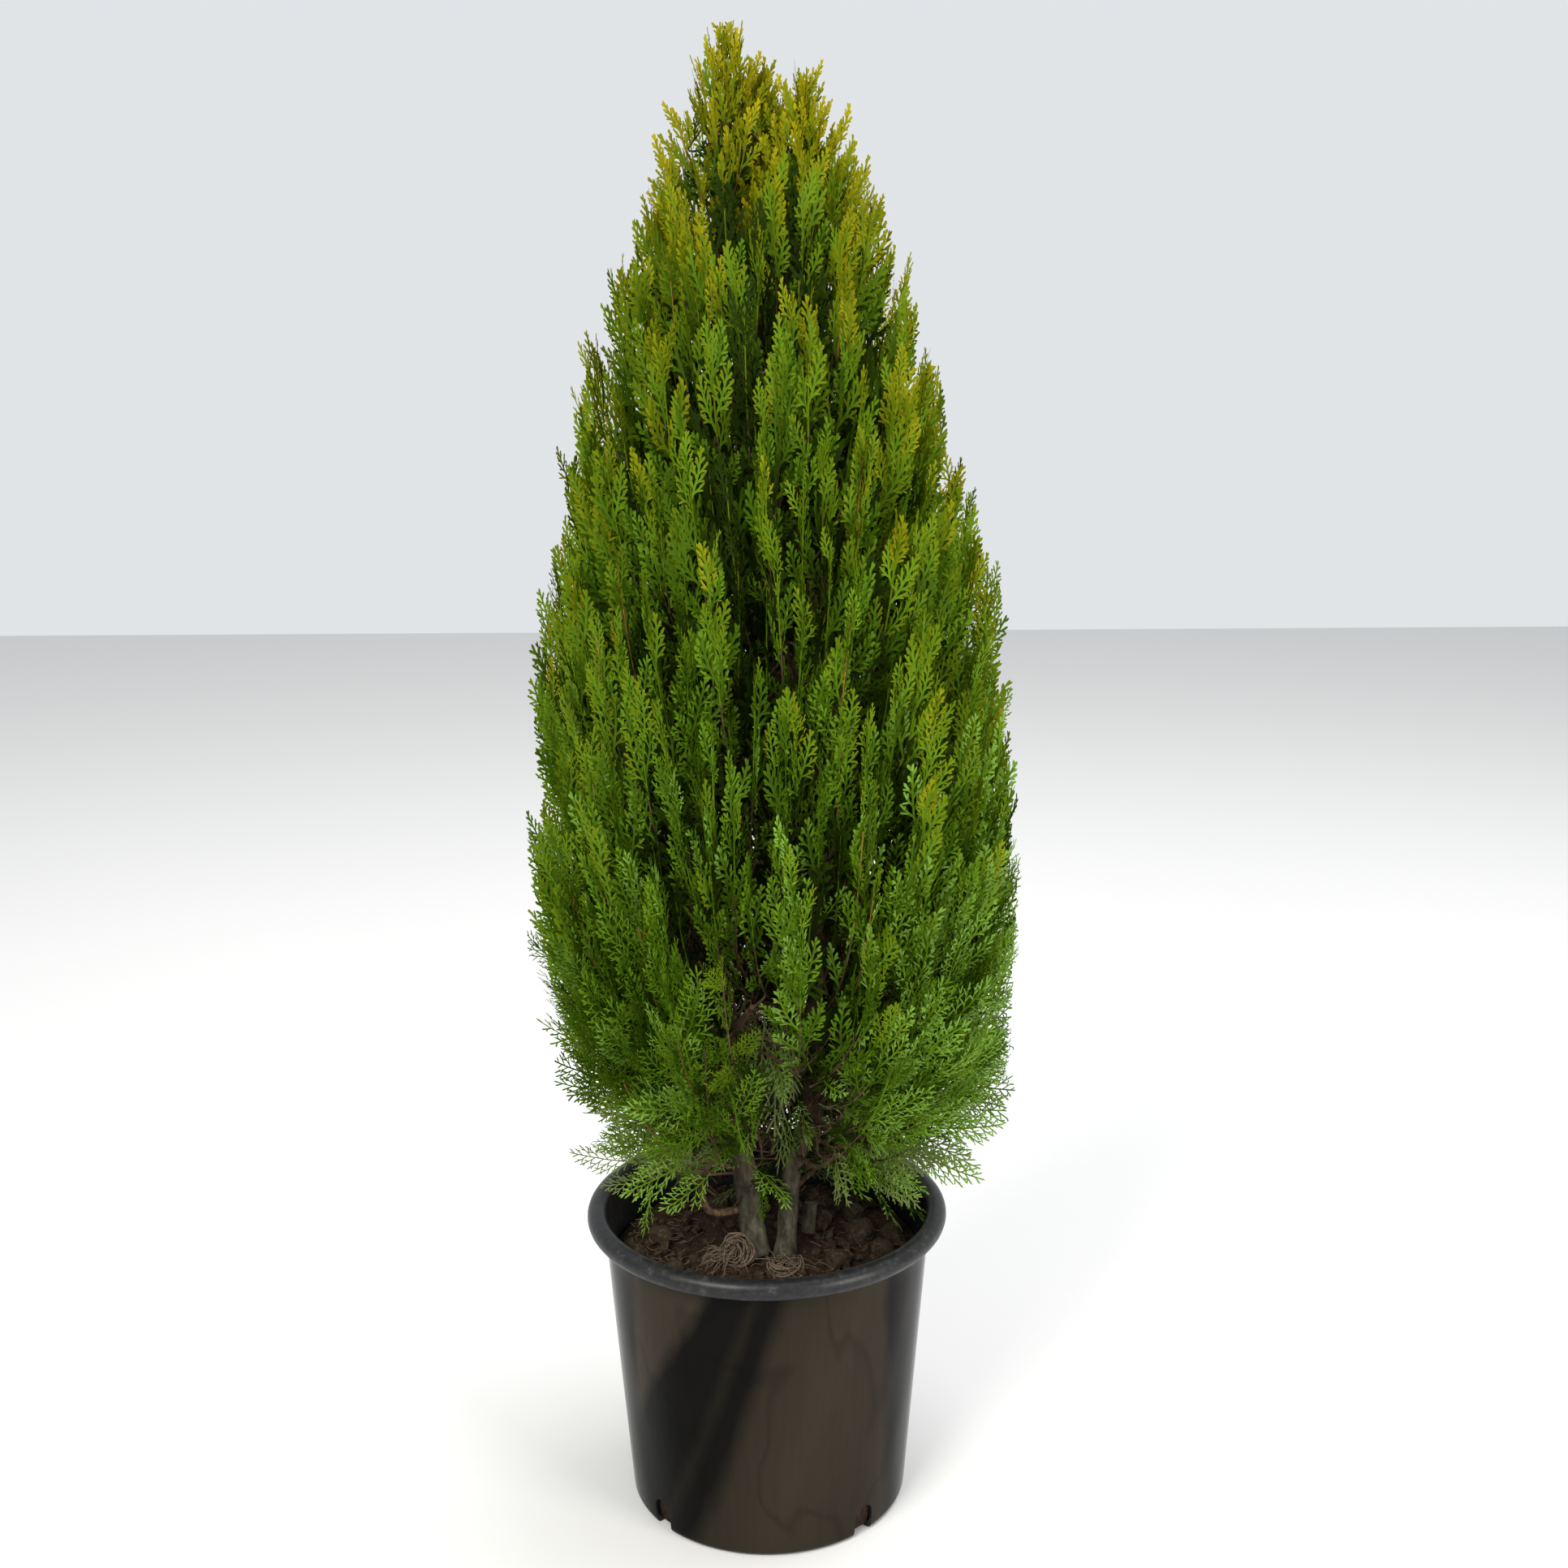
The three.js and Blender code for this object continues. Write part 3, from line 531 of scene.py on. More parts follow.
def shell_tips(count, low, high):
    """Heights and bearings spread evenly over the crown, each further round by the golden angle."""
    levels = np.linspace(low, high, 500)
    area = np.cumsum(crown_radius(levels) + 95)
    heights = np.interp((np.arange(count) + 0.5) / count * area[-1], area, levels)
    return [(height, k * GOLDEN_ANGLE % FULL_TURN) for k, height in enumerate(heights)]


def grow_shell(count, depth, shade, seed):
    """Plumes whose tips lie depth below the crown's outline."""
    for k, (height, bearing) in enumerate(shell_tips(count, SHELL_FOOT + depth, SHELL_TOP - depth)):
        rng = np.random.default_rng(seed + k)
        height = np.clip(height + rng.normal(0, 20), SHELL_FOOT, SHELL_TOP)
        bearing += rng.normal(0, 0.05)
        if open_front(height, bearing):
            continue
        phase = column_phase(height, bearing)
        bearing -= 0.6 * math.sin(phase) / COLUMNS
        outward = level_way(bearing)
        lean = float(np.interp(height, *LEANS)) * rng.uniform(0.8, 1.2)
        low = float(np.clip((640 - height) / 190, 0, 1))
        furrow = 0.5 - 0.5 * math.cos(phase)
        radius = (tufted_radius(height, bearing) - depth) * rng.uniform(0.965, 1.01) - 2
        in_front = max(0.5 - 0.5 * math.sin(bearing), 0.3)
        radius -= FURROW * furrow * in_front * (1 - low) * radius / CROWN_RADIUS * (0.5 if shade else 1)
        radius += 0 if shade else 9 * (clump(height, bearing) - 0.15)
        radius = np.clip(radius, 12, CROWN_RADIUS - 2)
        tip = np.array([crown_middle(height), 0, height]) + outward * radius
        length = ((225 - 80 * low) * rng.uniform(0.72, 1.22)
                  * np.interp(height, [350, 1300, 1450], [1, 1, 0.66]))
        style = "compact" if height > 1050 or (height > 760 and rng.random() < 0.4) else "full"
        if rng.random() < np.interp(height, [560, 640, 780], [1, 0.5, 0]):
            style = "lacy"
        fans = round(length / (24 if style == "lacy" else 18))
        # dusk is painted shade: it deals darker colour kinds to plumes in the furrows, more towards the
        # front, and about the shaded front.
        dusk = shade
        if shade:
            style, fans = "inner", 7
        else:
            in_middle = math.exp(-(away_from(bearing, SHADED_FRONT) / 0.5) ** 2)
            middle_dusk = np.interp(height, [900, 1150], [0.27, 0.42]) * in_middle
            dusk = (0.7 * furrow * in_front + middle_dusk) * (1 - low)
        axis = grow_plume(tip, outward, length, lean, style, rng, dusk, droop=low * 0.45,
                          fans=fans, spread=1 - 0.15 * low)
        join_to_bough(mass_of(tip), axis[0], axis[1], 1.5)


def grow_leaders(count, seed):
    """Plumes round the three leaders, with some in their hearts; the left leader's tip nods right."""
    for n, leader in enumerate(LEADERS):
        name, axis_at, apex, _, _, _ = leader
        mass = next(m for m in masses if m["leader"] is leader)
        for k in range(count + LEADER_HEARTS):
            rng = np.random.default_rng(seed + 1000 * n + k)
            inside = k >= count
            share = (k - count) / LEADER_HEARTS * 0.8 + 0.25 if inside else k / count
            sunk = 12 if name == "leader_right" else 4
            height = apex - sunk - (apex - SHOULDER - 10) * share ** 1.1
            outward = level_way(k * GOLDEN_ANGLE)
            radius = max(leader_radius(leader, height) * rng.uniform(0.78, 1.02) - 10, 0)
            if inside:
                radius *= 0.45
            tip = np.array([*axis_at, height]) + outward * radius
            if name == "leader_left":
                tip[0] += 8 * np.clip((height - 1480) / 90, 0, 1)
            length = 110 * rng.uniform(0.8, 1.1)
            style, shade = ("inner", SHADED) if inside else ("crest", LIT)
            axis = grow_plume(tip, outward, length, 0.16 + 0.0022 * radius, style, rng, shade,
                              fans=6, spread=0.55 if inside else 0.8, thick=1.2)
            join_to_bough(mass, axis[0], axis[1], 1.2, nearest=0.0)


# Low boughs over the rim: bearing in degrees, reach, height of the tip, height of the foot
SKIRT = [
    (-30, 132, 394, 404), (-12, 134, 388, 406), (6, 134, 390, 400), (26, 160, 404, 388),
    (48, 186, 408, 376), (70, 192, 386, 366), (88, 194, 384, 362), (106, 194, 384, 362),
    (124, 190, 388, 362), (146, 176, 392, 358), (166, 168, 392, 350), (183, 164, 392, 350),
    (198, 152, 388, 350), (195, 172, 512, 440),
]
SKIRT_FANS = 7


def grow_skirt(seed):
    """Low boughs that reach out over the rim from the foot of the stems, with lacy sprays."""
    for k, (degrees, reach, height, foot) in enumerate(SKIRT):
        rng = np.random.default_rng(seed + k)
        bearing = math.radians(degrees)
        outward = level_way(bearing)
        tip = np.array([6, 0, height]) + outward * (reach - 14)
        start = np.array([math.copysign(42, outward[0]), 0, foot]) + outward * 16
        bend = start + (tip - start) * 0.6 + UP * rng.uniform(14, 26)
        axis = arc(start, bend, tip, 10)
        sideways = np.cross(UP, outward)
        for j in range(SKIRT_FANS):
            share = (j + 1.9) / (SKIRT_FANS + 0.9)
            origin, i = place_on(axis, min(share, 1) * (len(axis) - 1))
            along = unit(axis[i + 1] - axis[i])
            sign = 1 if j % 2 else -1
            angle = 0.75 * (1 - 0.5 * share) if j < SKIRT_FANS - 1 else 0.05
            rise = rng.uniform(0.35, 1.0)
            side = swung(sideways * sign, UP, rise)
            forward = swung(along, side, angle)
            normal = unit(np.cross(forward, side))
            across = unit(np.cross(normal, forward))
            fresh = rng.random() < (0.8 if outward[0] > -0.1 else 0.5)
            kind = "fresh" if fresh else rng.choice(["leaf", "dull"])
            droop = rng.uniform(0.3, 0.9) if outward[0] > 0.1 else rng.uniform(0.0, 0.4)
            placed.append(("lacy", int(rng.integers(VARIANTS)), kind, origin, forward, across, normal,
                           rng.uniform(0.55, 0.76), 0.002, droop))
        twig_paths.append((axis, np.linspace(2.4, 0.8, len(axis))))


# Sprays that hang over the soil: place of the root, bearing in degrees, how far down, size
OVER_SOIL = [
    (-122, -70, 398, -132, 1.3, 0.6), (-4, -40, 374, -100, 1.4, 0.36), (124, -36, 452, -48, 1.0, 0.8),
    (146, -26, 452, -34, 0.95, 0.75), (100, -46, 456, -58, 1.1, 0.7), (8, -88, 556, -70, 0.7, 0.62),
    (-34, -84, 530, -112, 1.0, 0.6), (-66, -84, 486, -118, 0.9, 0.62), (34, -80, 498, -62, 1.1, 0.56),
]
# Sprays that hang between the stems and behind them, in the same way
BETWEEN_STEMS = [
    (-14, -66, 520, -95, 1.35, 0.9), (12, -60, 548, -85, 1.3, 1.0), (20, -66, 486, -100, 1.4, 0.8),
    (-34, -72, 500, -110, 1.25, 0.9), (26, -30, 466, -80, 1.4, 0.7), (0, 40, 480, 90, 1.4, 0.9),
    (24, 60, 500, 80, 1.3, 0.9), (-24, 56, 490, 100, 1.3, 0.9), (-36, 128, 446, 96, 1.35, 0.9),
    (-8, 132, 452, 88, 1.35, 0.95), (20, 130, 448, 92, 1.35, 0.95), (48, 126, 446, 80, 1.35, 0.9),
]


def hanging_roots(count, seed):
    """Where sprays hang from: the listed places, a row behind the stems, and count more about them."""
    roots = OVER_SOIL + BETWEEN_STEMS
    for degrees in range(48, 133, 14):
        x, y, _ = 122 * level_way(math.radians(degrees))
        roots.append((10 + x, y, 456, degrees, 1.2, 0.95))
    for k in range(count):
        rng = np.random.default_rng(seed + k)
        degrees = math.degrees(k * GOLDEN_ANGLE) % 360 - 180
        x, y, _ = rng.uniform(34, 118) * level_way(math.radians(degrees))
        height = 440 + 190 * ((k * 0.618) % 1)
        if y < 0 and abs(10 + x - 56) < 24:
            continue
        roots.append((10 + x, y, height, degrees, rng.uniform(1.0, 1.4), rng.uniform(0.7, 1.0)))
    return roots


def hang_sprays(count, seed):
    """Long shaded sprays that hang about the stems, and a few that hang over the soil."""
    for k, (x, y, z, degrees, down, size) in enumerate(hanging_roots(count, seed)):
        rng = np.random.default_rng(seed + 500 + k)
        outward = level_way(math.radians(degrees))
        forward = swung(outward, -UP, down)
        turn = rng.normal(0, 0.6)
        side = np.cross(UP, outward)
        normal = unit(np.cross(forward, side))
        across = swung(side, normal, turn)
        normal = unit(np.cross(forward, across))
        root = np.array([x, y, z], float)
        in_view = k < len(OVER_SOIL)
        kind = "fresh" if in_view and k != 1 else rng.choice(["dull", "dull", "dull", "moss", "leaf"])
        style = "lacy" if in_view else "hanging"
        placed.append((style, int(rng.integers(VARIANTS)), kind, root, forward, across, normal,
                       size, 0.0, 0.1))
        join_to_bough(mass_of(root), root, root + forward * 10, 1.0, nearest=0.1)


# The two parts of the bright plume: place of the tip, length, spread, colour kind
BRIGHT_PLUME = [(-38, -228, 684, 150, 0.62, "lime"), (-58, -196, 600, 130, 0.6, "leaf")]


def front_plume(seed):
    """The bright plume that stands out over the open front, left of the stems."""
    for n, (x, y, z, length, spread, kind) in enumerate(BRIGHT_PLUME):
        rng = np.random.default_rng(seed + n)
        outward = unit([x * 0.6, y, 0])
        axis = grow_plume(np.array([x, y, z], float), outward, length, 0.32, "lacy", rng, LIT,
                          droop=0.5, fans=8, spread=spread, kind=kind, thick=1.6)
        twig_paths.append((axis - np.array([0, 1.4, 0]), np.linspace(1.5, 0.7, len(axis))))
        join_to_bough(mass_of(axis[0]), axis[0], axis[1], 1.6)


for layer in LAYERS:
    grow_shell(*layer)
grow_leaders(LEADER_PLUMES, seed=20000)
grow_skirt(seed=30000)
hang_sprays(HANGING_SPRAYS, seed=31000)
front_plume(seed=32000)


# ---- Meshes from arrays ----
def mesh_piece(name, points, corners, sizes):
    """A new object from points in millimetres and faces, given by their corners and their sizes."""
    mesh = bpy.data.meshes.new(name)
    mesh.vertices.add(len(points))
    mesh.vertices.foreach_set("co", (np.asarray(points, np.float32) * MM).ravel())
    mesh.loops.add(len(corners))
    mesh.loops.foreach_set("vertex_index", np.asarray(corners, np.int32))
    mesh.polygons.add(len(sizes))
    mesh.polygons.foreach_set("loop_start", (np.cumsum(sizes) - sizes).astype(np.int32))
    mesh.update(calc_edges=True)
    piece = bpy.data.objects.new(name, mesh)
    bpy.context.scene.collection.objects.link(piece)
    return piece


def in_box(corners):
    """Which leaves lie wholly inside the box, from the corners of each."""
    return np.all((corners >= BOX_LOW) & (corners <= BOX_HIGH), axis=(1, 2))


def place_spray(entry):
    """A spray's three kinds of leaf, bent and hung in their place, without any outside the crown."""
    style, variant, _, origin, forward, across, normal, size, bend, droop = entry
    for points in sprays[style][variant]:
        x, y, z = points[..., 0] * size, points[..., 1] * size, points[..., 2] * size
        bent = y + bend * x ** 2
        world = origin + x[..., None] * forward + bent[..., None] * across + z[..., None] * normal
        world[..., 2] -= droop * 0.005 * x ** 2
        keep = in_box(world)
        if style == "inner":
            at = world[:, 0]
            keep &= np.hypot(at[:, 0] - crown_middle(at[:, 2]), at[:, 1]) < crown_radius(at[:, 2]) - 30
        yield world[keep]


def tube_mesh(paths, sides):
    """Closed tapering tubes along the paths, as points and four-sided faces."""
    points, faces, first = [], [], 0
    for path, radii in paths:
        way = np.gradient(path, axis=0)
        way /= np.maximum(np.linalg.norm(way, axis=1), 1e-9)[:, None]
        ref = np.array([0.31, 0.95, 0.05])
        a = np.cross(way, ref)
        a /= np.maximum(np.linalg.norm(a, axis=1), 1e-9)[:, None]
        b = np.cross(way, a)
        for i in range(sides):
            turn = i / sides * FULL_TURN
            points.append(path + (a * math.cos(turn) + b * math.sin(turn)) * radii[:, None])
        n = len(path)
        step = np.arange(n - 1)
        for i in range(sides):
            here, there = i * n + step, (i + 1) % sides * n + step
            faces.append(first + np.stack([here, here + 1, there + 1, there], 1))
        first += n * sides
    faces = np.concatenate(faces)
    return np.concatenate(points), faces.ravel(), np.full(len(faces), 4)


by_kind = {kind: ([np.empty((0, 4, 3))], [np.empty((0, 5, 3))]) for kind in OLDER}
for entry in placed:
    strands, inner_tips, young_tips = place_spray(entry)
    by_kind[OLDER[entry[2]][0]][0].append(strands)
    by_kind[OLDER[entry[2]][1]][0].append(inner_tips)
    by_kind[entry[2]][1].append(young_tips)
for kind, path, radii in shoots:
    points, corners, _ = tube_mesh([(path, radii)], 3)
    sides = points[corners.reshape(-1, 4)]
    by_kind[kind][0].append(sides[in_box(sides)])


# ---- Modelling by hand ----
def deselect():
    bpy.ops.object.select_all(action="DESELECT")


def select_only(piece):
    deselect()
    piece.select_set(True)
    bpy.context.view_layer.objects.active = piece


def close_seams(threshold):
    """Merges doubled points, turns every face outward and leaves edit mode."""
    bpy.ops.mesh.select_all(action="SELECT")
    bpy.ops.mesh.remove_doubles(threshold=threshold)
    bpy.ops.mesh.normals_make_consistent(inside=False)
    bpy.ops.object.mode_set(mode="OBJECT")


def turned(name, profile, steps):
    """A closed shape spun round the upright axis from (radius, height) points in millimetres."""
    deselect()
    bpy.ops.mesh.primitive_plane_add(size=0.001, location=(0, 0, 0))
    piece = bpy.context.object
    piece.name = name
    bpy.ops.object.mode_set(mode="EDIT")
    bpy.ops.mesh.select_all(action="SELECT")
    bpy.ops.mesh.merge(type="CENTER")
    bpy.ops.transform.translate(value=(profile[0][0] * MM, 0, profile[0][1] * MM))
    for (r0, z0), (r1, z1) in zip(profile, profile[1:]):
        bpy.ops.mesh.extrude_region_move(
            TRANSFORM_OT_translate={"value": ((r1 - r0) * MM, 0, (z1 - z0) * MM)})
    bpy.ops.mesh.select_all(action="SELECT")
    bpy.ops.mesh.spin(steps=steps, angle=FULL_TURN, center=(0, 0, 0), axis=(0, 0, 1))
    close_seams(0.01 * MM)
    return piece


def apply_modifier(piece, kind, **settings):
    select_only(piece)
    modifier = piece.modifiers.new(kind.title(), kind)
    for key, value in settings.items():
        setattr(modifier, key, value)
    bpy.ops.object.modifier_apply(modifier=modifier.name)


def limb_mesh(name, limbs, sides):
    """Bark-covered limbs: curves with a radius at every point, made a mesh."""
    deselect()
    bpy.ops.curve.primitive_bezier_curve_add()
    piece = bpy.context.object
    piece.name = name
    curve = piece.data
    curve.splines.clear()
    curve.dimensions = "3D"
    curve.bevel_depth = MM
    curve.bevel_resolution = sides // 2 - 2
    curve.use_fill_caps = True
    for path, radii in limbs:
        spline = curve.splines.new("POLY")
        spline.points.add(len(path) - 1)
        for point, at, radius in zip(spline.points, path, radii):
            point.co = (*(at * MM), 1)
            point.radius = radius
    select_only(piece)
    bpy.ops.object.convert(target="MESH")
    piece = bpy.context.object
    bpy.ops.object.mode_set(mode="EDIT")
    close_seams(0.02 * MM)
    return piece


def push(piece, size, strength, depth=2, **how):
    """Pushes the surface in and out by a cloudy pattern of that size."""
    pattern = bpy.data.textures.new(piece.name + "_relief", "CLOUDS")
    pattern.noise_scale = size * MM
    pattern.noise_depth = depth
    apply_modifier(piece, "DISPLACE", texture=pattern, strength=strength * MM, mid_level=0.5, **how)


def relief(piece, size, stretch, strength):
    """Pushes the surface in and out by a pattern that is longer upwards than across."""
    deselect()
    bpy.ops.object.empty_add(location=(0, 0, 0))
    guide = bpy.context.object
    guide.scale = (1, 1, stretch)
    bpy.context.view_layer.update()
    push(piece, size, strength, texture_coords="OBJECT", texture_coords_object=guide)
    bpy.data.objects.remove(guide)


# ---- Finishes ----
# Sockets of a colour mixing node: the colour below, the colour above and what comes out
MIX_BELOW, MIX_ABOVE, MIX_OUT = 6, 7, 2


def shader_of(material):
    return material.node_tree.nodes["Principled BSDF"]


def finish(name, colour, roughness, **sockets):
    """A new material with its shader's constant values set."""
    material = bpy.data.materials.new(name)
    material.use_nodes = True
    shader = shader_of(material)
    shader.inputs["Base Color"].default_value = (*colour, 1)
    shader.inputs["Roughness"].default_value = roughness
    for key, value in sockets.items():
        shader.inputs[key.replace("_", " ")].default_value = value
    return material


def add_node(material, kind, sockets=(), **settings):
    """A new node with its settings, and with constants on some of its sockets."""
    node = material.node_tree.nodes.new(kind)
    for key, value in settings.items():
        setattr(node, key, value)
    for socket, value in sockets:
        node.inputs[socket].default_value = value
    return node


def wire(material, source, output, target, socket):
    material.node_tree.links.new(source.outputs[output], target.inputs[socket])


def pattern_on(material, scale, stretch=(1, 1, 1), detail=4.0, rough=0.55, distortion=0.0):
    """A noise on object coordinates, stretched along the axes."""
    place = add_node(material, "ShaderNodeTexCoord")
    mapping = add_node(material, "ShaderNodeMapping", [("Scale", stretch)])
    wire(material, place, "Object", mapping, "Vector")
    noise = add_node(material, "ShaderNodeTexNoise", [("Scale", scale), ("Detail", detail),
                                                      ("Roughness", rough), ("Distortion", distortion)])
    wire(material, mapping, "Vector", noise, "Vector")
    return noise


def split_place(material):
    """A node that gives a point's coordinates one by one."""
    split = add_node(material, "ShaderNodeSeparateXYZ")
    wire(material, add_node(material, "ShaderNodeTexCoord"), "Object", split, "Vector")
    return split


def ranged(material, source, output, low, high, to_low=0.0, to_high=1.0):
    """A node's value, stretched from one range to another."""
    node = add_node(material, "ShaderNodeMapRange", [("From Min", low), ("From Max", high),
                                                     ("To Min", to_low), ("To Max", to_high)])
    wire(material, source, output, node, "Value")
    return node


def mixed(material, blend, below, output, above):
    """One ramp's colours over another node's, with the factor at its full value."""
    both = add_node(material, "ShaderNodeMix", data_type="RGBA", blend_type=blend)
    both.inputs["Factor"].default_value = 1.0
    wire(material, below, output, both, MIX_BELOW)
    wire(material, above, "Color", both, MIX_ABOVE)
    return both


def tones(material, source, stops, socket="Base Color", output="Fac"):
    """Colours dealt out by a pattern's strength, from (place, colour) stops."""
    ramp = add_node(material, "ShaderNodeValToRGB")
    while len(ramp.color_ramp.elements) < len(stops):
        ramp.color_ramp.elements.new(0.5)
    for element, (place, colour) in zip(ramp.color_ramp.elements, stops):
        element.position = place
        element.color = (*colour, 1)
    wire(material, source, output, ramp, "Fac")
    if socket:
        wire(material, ramp, "Color", shader_of(material), socket)
    return ramp


def bumps(material, sources):
    """Bump nodes one after another, from (pattern, strength, distance in millimetres)."""
    before = None
    for source, strength, distance in sources:
        bump = add_node(material, "ShaderNodeBump", [("Strength", strength), ("Distance", distance * MM)])
        wire(material, source, "Fac", bump, "Height")
        if before:
            wire(material, before, "Normal", bump, "Normal")
        before = bump
    wire(material, before, "Normal", shader_of(material), "Normal")


def mottled(name, colour, roughness, specular, scale, stops, bump, **pattern):
    """A finish in three tones dealt out by one pattern, which also gives the surface its bumps."""
    material = finish(name, colour, roughness, Specular_IOR_Level=specular)
    noise = pattern_on(material, scale, **pattern)
    tones(material, noise, stops)
    bumps(material, [(noise, *bump)])
    return material


def leaf_finish(name, colour):
    """Waxy scale leaves: a plain colour, with fine scales that break up the gloss."""
    material = finish(name, colour, 0.6, Specular_IOR_Level=0.05)
    scales = pattern_on(material, 620, detail=2)
    wax = ranged(material, scales, "Fac", 0.35, 0.65, 0.48, 0.75)
    wire(material, wax, "Result", shader_of(material), "Roughness")
    bumps(material, [(scales, 0.5, 0.5)])
    return material


# Each kind's colour and the slot that it fills
LEAF_COLOURS = {
    "gold": ((0.262, 0.228, 0.003), "foliage_gold"),
    "olive": ((0.170, 0.170, 0.002), "foliage_gold"),
    "lime": ((0.102, 0.148, 0.003), "foliage_lime"),
    "leaf": ((0.078, 0.152, 0.005), "foliage_green"),
    # Moss is the darker green of older strands and some sprays, and also painted shade; deep is painted
    # shade only.
    "moss": ((0.042, 0.088, 0.002), "foliage_green"),
    "fresh": ((0.136, 0.252, 0.034), "foliage_green"),
    "dull": ((0.115, 0.150, 0.045), "foliage_shade"),
    "deep": ((0.013, 0.027, 0.001), "foliage_shade"),
    "tan": ((0.270, 0.130, 0.036), "twig"),
}


def bark_finish():
    """Stringy bark: smooth and grey near the soil, dark red-brown and shaggy above."""
    material = finish("stringy_bark", (0.12, 0.09, 0.065), 0.9, Specular_IOR_Level=0.2)
    strips = pattern_on(material, 150, stretch=(1, 1, 0.09), detail=6, rough=0.62, distortion=0.4)
    shaggy = tones(material, strips,
                   [(0.30, (0.013, 0.008, 0.005)), (0.46, (0.046, 0.029, 0.018)),
                    (0.60, (0.095, 0.064, 0.043)), (0.76, (0.18, 0.14, 0.10))], socket=None)
    patches = pattern_on(material, 110, stretch=(1, 1, 0.45), detail=7, rough=0.72)
    smooth = tones(material, patches, [(0.32, (0.018, 0.017, 0.011)), (0.5, (0.058, 0.054, 0.036)),
                                       (0.70, (0.132, 0.120, 0.084))], socket=None)
    above = ranged(material, split_place(material), "Z", 0.355, 0.43)
    both = mixed(material, "MIX", smooth, "Color", shaggy)
    wire(material, above, "Result", both, "Factor")
    wire(material, both, MIX_OUT, shader_of(material), "Base Color")
    fibres = pattern_on(material, 520, stretch=(1, 1, 0.05), detail=4)
    bumps(material, [(strips, 0.9, 1.6), (fibres, 0.6, 0.5)])
    return material


def soil_finish(name, dark, middle, light):
    """Crumbly soil in three tones, with grit."""
    material = finish(name, middle, 0.96, Specular_IOR_Level=0.15)
    crumbs = pattern_on(material, 210, detail=8, rough=0.7)
    tones(material, crumbs, [(0.28, dark), (0.5, middle), (0.72, light)])
    grit = pattern_on(material, 900, detail=5, rough=0.7)
    bumps(material, [(crumbs, 1.0, 3.0), (grit, 0.8, 0.8)])
    return material


# How far the ragged edges of the pot's bands wander
RAGGED = 0.03


def pot_bands(material, edge, source, output, low, high, stops):
    """Colours dealt out between two places across the pot, with a ragged edge."""
    across = add_node(material, "ShaderNodeMath", [(1, RAGGED)], operation="MULTIPLY_ADD")
    wire(material, edge, "Fac", across, 0)
    wire(material, source, output, across, 2)
    spread = ranged(material, across, "Value", low + RAGGED / 2, high + RAGGED / 2)
    return tones(material, spread, [((place - low) / (high - low), colour) for place, colour in stops],
                 socket=None, output="Result")


def layered(material, ground, layers):
    """The colours of several ramps laid over one another, each by its own way of blending."""
    whole, output = ground, "Color"
    for blend, layer in layers:
        whole, output = mixed(material, blend, whole, output, layer), MIX_OUT
    wire(material, whole, output, shader_of(material), "Base Color")


def pot_finish():
    """Thin black blow-moulded plastic, glossy and a little wavy, with painted reflections and shade."""
    material = finish("black_pot_plastic", (0.006, 0.0055, 0.005), 0.16, Specular_IOR_Level=0.045)
    waves = pattern_on(material, 7, stretch=(1, 1, 0.4), detail=2)
    ripple = pattern_on(material, 55, stretch=(1, 1, 0.12), detail=2)
    scratches = pattern_on(material, 480, stretch=(1, 1, 0.06), detail=3)
    bumps(material, [(waves, 0.35, 16.0), (ripple, 0.15, 1.2), (scratches, 0.06, 0.3)])
    place = add_node(material, "ShaderNodeTexCoord")
    slants = []
    for lean in (-0.33, -0.46):
        slant = add_node(material, "ShaderNodeVectorMath", [(1, (1, 0, lean))], operation="DOT_PRODUCT")
        wire(material, place, "Object", slant, 0)
        slants.append(slant)
    edge = pattern_on(material, 14, stretch=(1, 1, 0.3), detail=5)
    # The black plastic and two strengths of painted reflection; the ramp below lays them in slanting
    # brown bands, with one thin paler line of painted reflection.
    dark_plastic, painted_reflection, thick = (0.003, 0.0028, 0.0024), (0.0195, 0.0153, 0.0105), (0.0275, 0.0215, 0.0148)
    reflection_bands = pot_bands(material, edge, slants[0], "Value", -0.30, 0.16,
                      [(-0.128, dark_plastic), (-0.116, (0.0085, 0.007, 0.0052)), (-0.104, dark_plastic), (-0.092, dark_plastic),
                       (-0.070, painted_reflection), (0.0, thick), (0.08, painted_reflection)])
    # A steeper band of the stronger painted reflection on the left of the pot.
    left_reflection_band = pot_bands(material, edge, slants[1], "Value", -0.34, -0.14,
                          [(-0.214, thick), (-0.198, dark_plastic)])
    # Towards the pot's left and right sides everything darkens to a tenth: painted shade.
    full, side_shade = (1, 1, 1), (0.11, 0.11, 0.11)
    sides = pot_bands(material, edge, split_place(material), "X", -0.20, 0.18,
                      [(-0.146, side_shade), (-0.138, full), (0.124, full), (0.136, side_shade)])
    # Thin darker lines along the folds of the plastic are painted shade in its creases.
    folds = pattern_on(material, 5.5, stretch=(1.6, 1.6, 1), detail=2, rough=0.4, distortion=0.6)
    crease_shade = tones(material, folds, [(0.47, full), (0.5, (0.76, 0.76, 0.77)), (0.545, full)],
                    socket=None)
    dust = pattern_on(material, 150, stretch=(1, 1, 0.05), detail=5, rough=0.7)
    streaks = tones(material, dust, [(0.3, (0.90, 0.90, 0.90)), (0.7, (1.06, 1.05, 1.04))], socket=None)
    layered(material, reflection_bands, [("LIGHTEN", left_reflection_band), ("MULTIPLY", sides), ("MULTIPLY", crease_shade),
                              ("MULTIPLY", streaks)])
    return material


